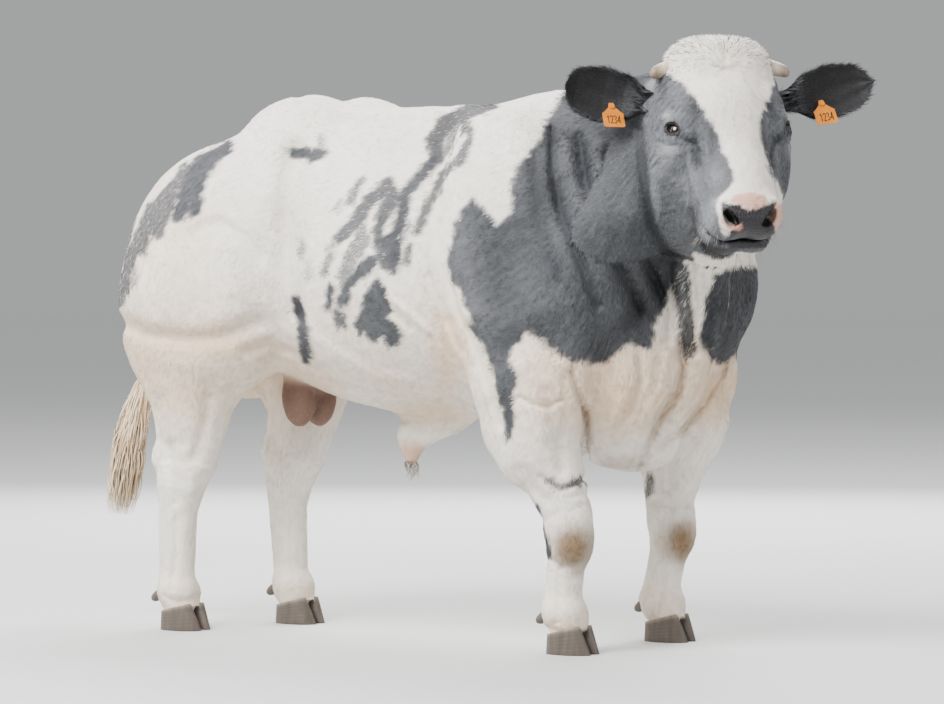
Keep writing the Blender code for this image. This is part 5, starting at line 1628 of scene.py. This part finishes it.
def ear(side, word):
    """The leaf as one closed loft: each ring runs across the back and returns on the inner face."""
    stations, columns = 60, 36
    t = 1 - (1 - np.linspace(0.0, 1.0, stations)) ** 1.25
    v = np.sin(np.linspace(-math.pi / 2, math.pi / 2, columns))
    down, over = np.meshgrid(t, v, indexing="ij")
    back = ear_surface(side, down, over, 0.0)
    inner = ear_surface(side, down, over[:, ::-1], EAR_THICKNESS)
    points, groups = lofted(np.concatenate([back, inner], 1))
    share_in = np.concatenate([np.tile(np.repeat([0, 1], columns), stations), [0, 0]])
    along = np.concatenate([np.repeat(t, 2 * columns), [0, 1]])
    outside = mixed(DARK_HAIR, PALE_BLUE, 0.07 + 0 * along)
    hue = mixed(outside, EAR_LINING, share_in)
    hue = mixed(hue, PALE_BLUE, 0.3 * smooth((0.26 - along) / 0.26))
    mesh_piece(f"ear_skin_{word}", points, groups, skin_material(), hue, [f"ear_{word}"])


def ear_hair(side, word):
    """Short hair over both faces of the ear and longer hair along its rims and out of its cup."""
    draw = np.random.default_rng(60 + side)
    opening = ear_frame(side)[2]
    t, v = draw.random(EAR_HAIRS) ** 0.8, draw.uniform(-1, 1, EAR_HAIRS)
    inner = draw.random(EAR_HAIRS) < 0.5
    inward = np.where(inner, EAR_THICKNESS, 0.0)
    roots = ear_surface(side, t, v, inward)
    step = 0.004
    along = unit(
        ear_surface(side, np.minimum(t + step, 1.0), v, inward) - ear_surface(side, t - step, v, inward)
    )
    across = unit(ear_surface(side, t, v + step, inward) - ear_surface(side, t, v - step, inward))
    turned_in = np.where(inner, 1.0, -1.0)[:, None]
    normals = unit(np.cross(along, across)) * turned_in
    wrong_way = (normals @ opening)[:, None] * turned_in < 0
    normals = np.where(wrong_way, -normals, normals)
    rim = smooth((np.abs(v) - 0.86) / 0.1)
    cup = inner * smooth((0.5 - t) / 0.3)
    sway = 0.5 * np.sign(v) * rim
    lie = unit(along + across * sway[:, None] + across * draw.normal(0, 0.2, (EAR_HAIRS, 1)))
    size = (0.007 + 0.012 * rim + 0.01 * cup) * draw.uniform(0.6, 1.3, EAR_HAIRS)
    pale = 0.02 + 0.06 * rim + 0.22 * smooth((0.3 - t) / 0.25) + 0.1 * cup
    pale = np.clip(pale + 0.08 * draw.random(EAR_HAIRS), 0, 1)
    hue = mixed(DARK_HAIR * 0.7, PALE_BLUE, pale)
    lift = np.radians(5 + 9 * rim + 12 * cup)
    flat = np.stack([(v + 1) / 4 + 0.5 * inner, np.clip(t, 0, 1)], 1)
    tufts(f"ear_hair_{word}", roots, normals, lie, size, 0.0014 + 0 * size, lift, hue, flat,
          coat_material(f"ear_coat_{word}"))


def horn(side, word):
    """A short blunt bud: circles along a slightly bent path, with fine rings of growth."""
    stations, sides = 40, 32
    t = np.linspace(0, 1, stations)
    blunt = np.sqrt(np.clip(1 - ((t - 0.82) / 0.185) ** 2 * (t > 0.82), 0, 1))
    radius = (0.0255 * (1 - t) + 0.0145 * t) * blunt + 0.0004 * np.sin(t * 60) * (1 - t)
    radius = np.maximum(radius, 0.0012)
    path = np.stack([0.034 + 0.024 * t * t, side * (0.1 + 0.082 * t), -0.036 + 0.006 * t], 1)
    angle = circle_angles(sides)
    circle = np.outer(np.cos(angle), HEAD_AXES[:, 0]) + np.outer(np.sin(angle), HEAD_AXES[:, 2])
    points, groups = lofted(from_head(path)[:, None] + radius[:, None, None] * circle)
    along = np.concatenate([np.repeat(t, sides), [0, 1]])
    hue = mixed(HORN_BASES[word], HORN_TIP, 0.8 * smooth((along - 0.55) / 0.4))
    material = horn_material(f"horn_{word}", 0.45)
    mesh_piece(f"horn_bud_{word}", points, groups, material, hue, [f"horn_{word}"])


def eyeball(side, word):
    """A sphere with the cornea's bulge, coloured by the angle from where it looks."""
    axis = unit(sided(EYE_LOOK, side))
    level = unit(np.cross(axis, HEAD_AXES.T @ UP))
    upright = np.cross(level, axis)
    theta, phi = np.meshgrid(np.linspace(0.02, math.pi - 0.02, 60), circle_angles(72), indexing="ij")
    wide, high = np.sin(theta) * np.cos(phi), np.sin(theta) * np.sin(phi)
    ways = np.cos(theta)[..., None] * axis + wide[..., None] * level + high[..., None] * upright
    bulge = 0.0009 * smooth((0.72 - theta) / 0.3)
    centre = sided(EYE_PLACE, side) + EYEBALL_SHIFT * axis
    rings = from_head(centre + ways * (EYEBALL_RADIUS - 0.0004 + bulge)[..., None])
    points, groups = lofted(rings)
    pupil = smooth((0.34 - np.hypot(wide, high * 2.0)) / 0.05)
    iris = smooth((0.7 - np.sin(theta)) / 0.06) * (theta < 1.5)
    hue = mixed(mixed(EYE_WHITE, EYE_IRIS, iris.ravel()), EYE_PUPIL, pupil.ravel())
    hue = np.concatenate([hue, [hue[0], hue[-1]]])
    finish = Finish(f"eye_{word}", 0.12, coat=1.0)
    finish.shader.inputs["Coat Roughness"].default_value = 0.02
    finish.join(finish.own_colour(), "Color", finish.shader, "Base Color")
    mesh_piece(f"eyeball_{word}", points, groups, finish.material, hue, [f"eye_{word}"])


def lid_flat(turn, out):
    """Flat place round the gap between the lids, from its rim at out = 0 to their border at 1.

    The second result is 1 on the upper lid and 0 on the lower.
    """
    c, n = np.cos(turn), np.sin(turn)
    upper = smooth(n / 0.3 + 0.5)
    tall = LID_GAP[1] * upper + LID_GAP[2] * (1 - upper)
    inner = np.stack([LID_GAP[0] * c, tall * n * np.abs(n) ** 0.25], -1)
    outer = np.stack([LID_REACH[0] * c, LID_REACH[1] * n], -1)
    return inner + (outer - inner) * out[..., None], upper


def over_eyeball(across, above):
    """Height of a ball `above` the eyeball, from the squared distance across from its middle."""
    return EYEBALL_SHIFT + np.sqrt(np.clip((EYEBALL_RADIUS + above) ** 2 - across, 1e-6, None))


def skin_height(local, out):
    """Height of the head's skin along `out` over places in its axes, in six steps by the distance."""
    height = np.full(local.shape[:-1], EYE_RADIUS)
    forms = head_forms()
    for _ in range(6):
        places = from_head(local + height[..., None] * out).reshape(-1, 3)
        gap = distance(places, forms) + coat_depth(places) + relief(places)
        height = height - np.clip(gap.reshape(height.shape), -0.01, 0.01)
    return height


def eyelids(side, word):
    """Both lids of an eye as one closed ring round the gap.

    Round the gap the angle runs from 0 to a full turn. Out from the gap, s runs from 0 at the lids'
    edge, which lies on the eyeball, to 1 at their border, which lies just under the skin; between
    them the lids swell by a sine of s, with a fold, and the ring comes back underneath.
    """
    axes = eye_opening(side)[1]
    s = np.concatenate([[-0.04, 0.0], np.linspace(0.03, 1.0, 30), [0.85, 0.55, 0.25]])
    depth = np.concatenate([[0.004, 0.0], np.zeros(30), [0.005, 0.006, 0.006]])
    turn, out = np.meshgrid(circle_angles(120), s, indexing="ij")
    flat, upper = lid_flat(turn, out)
    local = sided(EYE_PLACE, side) + flat[..., :1] * axes[:, 0] + flat[..., 1:] * axes[:, 1]
    across = (flat**2).sum(-1)
    skin_over = skin_height(local, axes[:, 2])
    joined = 0.0012 * np.logaddexp(skin_over / 0.0012, over_eyeball(across, 0.0028) / 0.0012)
    blend, arch = smooth(out / 0.1), np.sin(math.pi * np.clip(out, 0, 1))
    height = joined * blend + over_eyeball(across, 0.001) * (1 - blend)
    height = height + 0.0016 * arch * (0.7 + 0.5 * upper)
    height = height - 0.002 * np.exp(-(((out - 0.62) / 0.06) ** 2)) * (0.4 + 0.6 * upper)
    height = height + 0.0003 * np.sin(40 * out + 3 * np.sin(2 * turn)) * arch
    height = height - 0.0022 * smooth((out - 0.8) / 0.2) - depth
    points = from_head(local + height[..., None] * axes[:, 2]).reshape(-1, 3)
    index = np.arange(turn.size).reshape(turn.shape)
    after, beside = np.roll(index, -1, 0), np.roll(index, -1, 1)
    quads = np.stack([index, after, np.roll(after, -1, 1), beside], -1).reshape(-1, 4)
    points, groups = outward_faces(points, [quads])
    out = out.ravel()
    corner = smooth((np.cos(turn).ravel() - 0.8) / 0.15) * smooth((0.3 - out) / 0.1)
    wet = np.maximum(smooth((0.16 - out) / 0.06), corner)
    hue = coat_colour(points, np.tile(HEAD_AXES @ axes[:, 2], (len(points), 1)))
    # The lids' coat is a quarter darker, with dark skin on the wet rim and corners and a dark line along the
    # fold: painted shade in the crease.
    hue = mixed(hue * 0.75, DARK_SKIN_AND_CREASE_SHADE, wet)
    hue = mixed(hue, DARK_SKIN_AND_CREASE_SHADE, 0.6 * np.exp(-(((out - 0.62) / 0.05) ** 2)))
    body = mesh_piece(f"eyelids_{word}", points, groups, skin_material(f"lid_skin_{word}"), hue)
    add_value(body.data, "leather", wet)


def eyelashes(side, word):
    """Lashes from the lids' rims: each a parabola out of the eye, the upper ones turned up."""
    draw = np.random.default_rng(70 + side)
    axes = eye_opening(side)[1]
    turn = np.concatenate([draw.uniform(0.35, 2.8, UPPER_LASHES), draw.uniform(3.6, 5.8, LOWER_LASHES)])
    lashes = len(turn)
    above = turn < math.pi
    c, n = np.cos(turn), np.sin(turn)
    tall = np.where(above, LID_GAP[1], LID_GAP[2])
    flat = np.stack([LID_GAP[0] * c, tall * n * np.abs(n) ** 0.25], -1)
    root = np.column_stack([flat, over_eyeball((flat**2).sum(1), 0.0015)])
    share = np.linspace(0, 1, 7)[None, :, None]
    reach = np.where(above, 0.015, 0.008)[:, None, None] * draw.uniform(0.7, 1.2, (lashes, 1, 1))
    way = np.stack([0.5 * c + 0.15 * draw.normal(size=lashes), 0.55 * n, 0.8 + 0 * c], -1)[:, None]
    sag = np.stack([0 * c, np.where(above, -0.35, 0.2), 0 * c], -1)[:, None]
    paths = root[:, None] + reach * (share * way + share**2 * sag)
    paths = from_head(sided(EYE_PLACE, side) + paths @ axes.T)
    hue = np.tile(LASH_HAIR, (lashes, 1))
    hair_locks(f"eyelashes_{word}", paths, np.full(lashes, 0.00035), hue, coat_material(f"lash_{word}"))


def whiskers(points, normals, draw):
    """Fine whiskers on the chin and round the nostrils: parabolas out of the skin, bent down."""
    along, left, out = head_place(points).T
    on_muzzle = (along > 0.43) & ((out < -0.19) | (np.abs(left) > 0.055)) & (out < -0.08)
    on_muzzle &= head_weight(points) > 0.5
    chosen = draw.choice(np.nonzero(on_muzzle)[0], WHISKERS, replace=False)
    share = np.linspace(0, 1, 7)[None, :, None]
    reach = draw.uniform(0.014, 0.038, (WHISKERS, 1, 1))
    way = 0.9 * normals[chosen] + 0.6 * HEAD_AXES[:, 0] + 0.12 * draw.normal(size=(WHISKERS, 3))
    paths = points[chosen][:, None] + reach * (share * unit(way)[:, None] - 0.3 * share**2 * UP)
    hue = mixed(WHISKER_HAIR, DARK_HAIR, draw.random(WHISKERS))
    hair_locks("whiskers", paths, np.full(WHISKERS, 0.00028), hue, coat_material("whisker_hair"))


def sheath_hair(points, draw):
    """Long hairs from the lowest point of the sheath: they spread in a ring, fall and wave."""
    low = points[:, 2] + 10 * (np.abs(points[:, 0] + 0.01) > 0.06)
    end = points[np.argmin(low)] + (0, 0, 0.006)
    share = np.linspace(0, 1, 7)[None, :, None]
    each = (SHEATH_HAIRS, 1, 1)
    turn = draw.uniform(0, 2 * math.pi, each)
    spread = 0.008 + 0.016 * share * draw.uniform(0.3, 1.2, each)
    ring = np.concatenate([np.cos(turn) * spread, np.sin(turn) * spread, 0 * spread], -1)
    bend = 0.006 * np.sin(5 * share + turn) * (1, 0.6, 0)
    fall = draw.uniform(0.025, 0.06, each) * share * (0.25, 0, -1.0)
    hue = mixed(*SHEATH_HAIR, draw.random(SHEATH_HAIRS))
    thickness = np.full(SHEATH_HAIRS, 0.0006)
    hair_locks("sheath_hair", end + ring + bend + fall, thickness, hue, coat_material("sheath_hair"))


def horn_material(name, roughness):
    """The piece's own colours, streaked lengthwise by stretched noise, with a faint grain."""
    finish = Finish(name, roughness, coat=0.15)
    streak = finish.pattern("TexNoise", (70.0, 70.0, 9.0), Scale=1.0, Detail=4.0)
    finish.overlaid(streak, 0.45)
    finish.bumped(streak, "Fac", 0.2, 0.0008)
    return finish.material


def claw(foot, outer):
    """One claw: D-shaped rings from the flat sole to the hair line, with faint rings of growth.

    Each ring is cos and sin of a full turn times the half length and half width at its height.
    """
    share = np.concatenate([[0.0, 0.03], np.linspace(0.08, 1.0, 22)])[:, None]
    angle = circle_angles(48)
    growth = 0.00035 * np.sin(share * 2 * math.pi * 7) * (share > 0.06) * (share < 0.95)
    half_length = 0.062 - 0.016 * share + growth
    half_width = 0.027 - 0.0025 * share - 0.0012 * (share == 0) + growth
    x = 0.026 - 0.013 * share + half_length * np.cos(angle)
    bulge = np.sin(angle)
    y = CLAW_MIDDLE + half_width * bulge * np.where(bulge > 0, 1.0, 0.92)
    y = y - 0.01 * np.maximum(0.0, np.cos(angle)) ** 3 * (1 - share)
    top = CORONET_HEIGHT + CORONET_SLOPE * x
    points, groups = lofted(np.stack([foot[0] + x, foot[1] + outer * y, share * top], -1))
    height = np.concatenate([np.repeat(share.ravel(), len(angle)), [0, 1]])
    return points, groups, mixed(*CLAW_HORN, 0.7 * smooth((height - 0.8) / 0.2))


def dewclaw(foot, outer):
    """One dewclaw: circles along a short straight axis, their radius falling to a blunt tip."""
    start = np.array([foot[0] - 0.03, foot[1] + outer * 0.024, 0.102])
    axis = unit(np.array([-0.8, outer * 0.25, -0.55]))
    side = unit(np.cross(axis, [0.3, 0.2, 0.9]))
    t, angle = np.linspace(0, 1, 14), circle_angles(20)
    radius = 0.015 * np.sqrt(np.clip(1 - (t * 0.98) ** 3.2, 0, 1))
    circle = np.outer(np.cos(angle), side) + np.outer(np.sin(angle), np.cross(axis, side))
    points, groups = lofted(
        start + (t * 0.0415)[:, None, None] * axis + radius[:, None, None] * circle
    )
    return points, groups, np.tile(DEWCLAW_HORN, (len(points), 1))


def hooves(name):
    """Both claws and both dewclaws of one foot, as one piece."""
    shapes = [make(FEET[name], outer) for outer in (-1, 1) for make in (claw, dewclaw)]
    starts = np.cumsum([0] + [len(points) for points, _, _ in shapes])
    groups = [group + start for (_, faces, _), start in zip(shapes, starts) for group in faces]
    points, hue = (np.concatenate([shape[i] for shape in shapes]) for i in (0, 2))
    nodes = [f"{kind}_{name}_{place}" for kind in ("claw", "dewclaw") for place in ("right", "left")]
    mesh_piece(f"hooves_{name}", points, groups, horn_material(f"hoof_{name}", 0.5), hue, nodes)


def switch_middle(t):
    """Middle of the switch from its root at 0 to its tip at 1."""
    fall = np.stack([-0.05 * t, -0.045 * np.sin(1.8 * t), -SWITCH_LENGTH * t], -1)
    return SWITCH_TOP + fall


def hair_locks(name, paths, radius, colours, material, nodes=()):
    """Tapered four-sided strands along paths (strands, stations, 3), each brought to a point."""
    strands, stations = paths.shape[:2]
    t = np.linspace(0, 1, stations)
    taper = np.minimum(1.0, 0.45 + 4 * t) * (1 - t**1.8) + 0.04
    ahead = unit(np.gradient(paths, axis=1))
    side = unit(np.cross(ahead, np.array([0.31, 0.22, 0.93])))
    other = np.cross(ahead, side)
    angle = circle_angles(4)[:, None]
    ring = side[:, :, None] * np.cos(angle) * 1.6 + other[:, :, None] * np.sin(angle) * 0.7
    rings = paths[:, :, None] + ring * (radius[:, None] * taper)[..., None, None]
    points = rings.reshape(-1, 3)
    index = np.arange(strands * stations * 4).reshape(strands, stations, 4)
    after = np.roll(index, -1, 2)
    quads = np.stack([index[:, :-1], after[:, :-1], after[:, 1:], index[:, 1:]], -1).reshape(-1, 4)
    caps = np.concatenate([index[:, 0, ::-1], index[:, -1]])
    first = outward_faces(points, [quads[: (stations - 1) * 4], caps[[0, strands]]])[1]
    if (first[0][0] != quads[0]).any():
        quads, caps = quads[:, ::-1], caps[:, ::-1]
    mesh_piece(name, points, [quads, caps], material, np.repeat(colours, stations * 4, 0), nodes)


def tail_switch():
    """Long wavy hair of the switch, rooted round the end of the dock.

    It swells out by a sine of the way along before it falls in, and turns a little as it falls.
    """
    draw = np.random.default_rng(9)
    share = np.linspace(0, 1, 12)
    root = 0.42 * draw.random(SWITCH_STRANDS)
    tip = np.minimum(1.0, root + draw.uniform(0.45, 0.75, SWITCH_STRANDS))
    t = root[:, None] + (tip - root)[:, None] * share
    bearing = draw.uniform(0, 2 * math.pi, SWITCH_STRANDS)[:, None]
    bearing = bearing + draw.normal(0, 0.5, SWITCH_STRANDS)[:, None] * share
    spread = draw.uniform(0.012, 0.058, SWITCH_STRANDS)[:, None] - 0.01
    swell = np.sin(math.pi * np.minimum(1, share * 1.25) / 2) * (1 - 0.45 * share**2)
    wave = 0.004 * np.sin(share * 11 + draw.uniform(0, 6.3, (SWITCH_STRANDS, 1)))
    out = 0.01 + spread * swell + wave
    paths = switch_middle(t) + np.stack([np.cos(bearing) * out, np.sin(bearing) * out, 0 * out], -1)
    hue = mixed(*SWITCH_HAIR, 0.8 * draw.random(SWITCH_STRANDS))
    thickness = draw.uniform(0.0014, 0.003, SWITCH_STRANDS)
    hair_locks("switch_hair", paths, thickness, hue, coat_material("switch_coat"), ["tail_switch"])


def tag_finish():
    """The tags and pins keep their solids, in a moulded plastic with a faint grain and blotches."""
    finish = Finish("tag_plastic", 0.42, coat=0.1)
    ramp = finish.add("ValToRGB")
    for stop, colour in zip(ramp.color_ramp.elements, TAG_PLASTIC):
        stop.color = colour
    finish.join(finish.pattern("TexNoise", Scale=45.0), "Fac", ramp, "Fac")
    finish.join(ramp, "Color", finish.shader, "Base Color")
    finish.bumped(finish.pattern("TexNoise", Scale=260.0, Detail=5.0), "Fac", 0.2, 0.0006)
    for name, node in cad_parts.items():
        if name.startswith("tag"):
            node.data.materials.clear()
            node.data.materials.append(finish.material)


# A plain number for the tags, each digit as lines on a box one wide and two high
DIGIT_SIZE = 0.0105
DIGITS = {
    "1": [[(0.2, 1.6), (0.6, 2.0), (0.6, 0.0)]],
    "2": [[(0.0, 1.6), (0.25, 1.95), (0.75, 1.95), (1.0, 1.6), (0.9, 1.2), (0.0, 0.0), (1.0, 0.0)]],
    "3": [[(0.0, 1.75), (0.3, 2.0), (0.8, 1.9), (0.95, 1.5), (0.45, 1.1), (1.0, 0.65), (0.8, 0.1), (0.2, 0.0),
           (0.0, 0.3)]],
    "4": [[(0.75, 0.0), (0.75, 2.0), (0.0, 0.6), (1.0, 0.6)]],
}


def tag_face(word):
    """Middle of the number's line on a tag's face, and the directions to its right, up and out.

    The face is the flat side of the tag's solid that is turned to the standpoint: its way out is
    the one along which the solid's points spread least.
    """
    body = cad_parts[f"tag_{word}"]
    placing = np.array(body.matrix_world)
    places = np.array([v.co for v in body.data.vertices]) @ placing[:3, :3].T + placing[:3, 3] + CENTRE
    middle = (places.min(0) + places.max(0)) / 2
    spread = np.linalg.eigh(np.cov((places - places.mean(0)).T))[1]
    out = spread[:, 0] * np.sign(spread[:, 0] @ (EYE_POINT - middle))
    upright = unit(UP - out * (UP @ out))
    up = spread[:, 1 + np.argmax(np.abs(upright @ spread[:, 1:]))]
    up = up * np.sign(up @ upright)
    base = middle + out * ((places @ out).max() - middle @ out) - up * 0.3 * np.ptp(places @ up)
    return base, np.cross(up, out), up, out


def tag_number(word, number="1234"):
    """The number on the face of a tag: each stroke a thin flat bar between two points of a digit."""
    base, right, up, out = tag_face(word)
    bars = []
    for at, digit in enumerate(number):
        for line in DIGITS[digit]:
            spots = np.array(line) * (0.62, 1.0) * DIGIT_SIZE
            spots[:, 0] += (at - len(number) / 2) * DIGIT_SIZE * 0.9 + 0.12 * DIGIT_SIZE
            bars += list(zip(spots[:-1], spots[1:]))
    start, end = np.array(bars).transpose(1, 0, 2)
    ahead = unit(end - start)
    side = np.stack([-ahead[:, 1], ahead[:, 0]], 1) * 0.0009
    start, end = start - ahead * 0.0006, end + ahead * 0.0006
    ends = np.stack([start + side, start - side, end - side, end + side], 1)
    flat = base + ends[..., :1] * right + ends[..., 1:] * up
    points = np.stack([flat - 0.0006 * out, flat + 0.0005 * out], 1).reshape(-1, 3)
    first = np.arange(len(bars))[:, None, None] * 8
    box = np.array([[3, 2, 1, 0], [4, 5, 6, 7], [0, 1, 5, 4], [1, 2, 6, 5], [2, 3, 7, 6], [3, 0, 4, 7]])
    points, groups = outward_faces(points, [(first + box).reshape(-1, 4)])
    ink = np.tile(TAG_INK, (len(points), 1))
    mesh_piece(f"tag_number_{word}", points, groups, coat_material(f"tag_ink_{word}"), ink)


photo_camera()
studio_light()
floor()
skin_points, skin_faces, skin_normals = skin()
whole_coat(skin_points, skin_faces, skin_normals)
for side, word in ((-1, "right"), (1, "left")):
    ear(side, word)
    ear_hair(side, word)
    horn(side, word)
    eyeball(side, word)
    eyelids(side, word)
    eyelashes(side, word)
    tag_number(word)
for foot_name in FEET:
    hooves(foot_name)
tail_switch()
hair_draw = np.random.default_rng(13)
whiskers(skin_points, skin_normals, hair_draw)
sheath_hair(skin_points, hair_draw)
tag_finish()
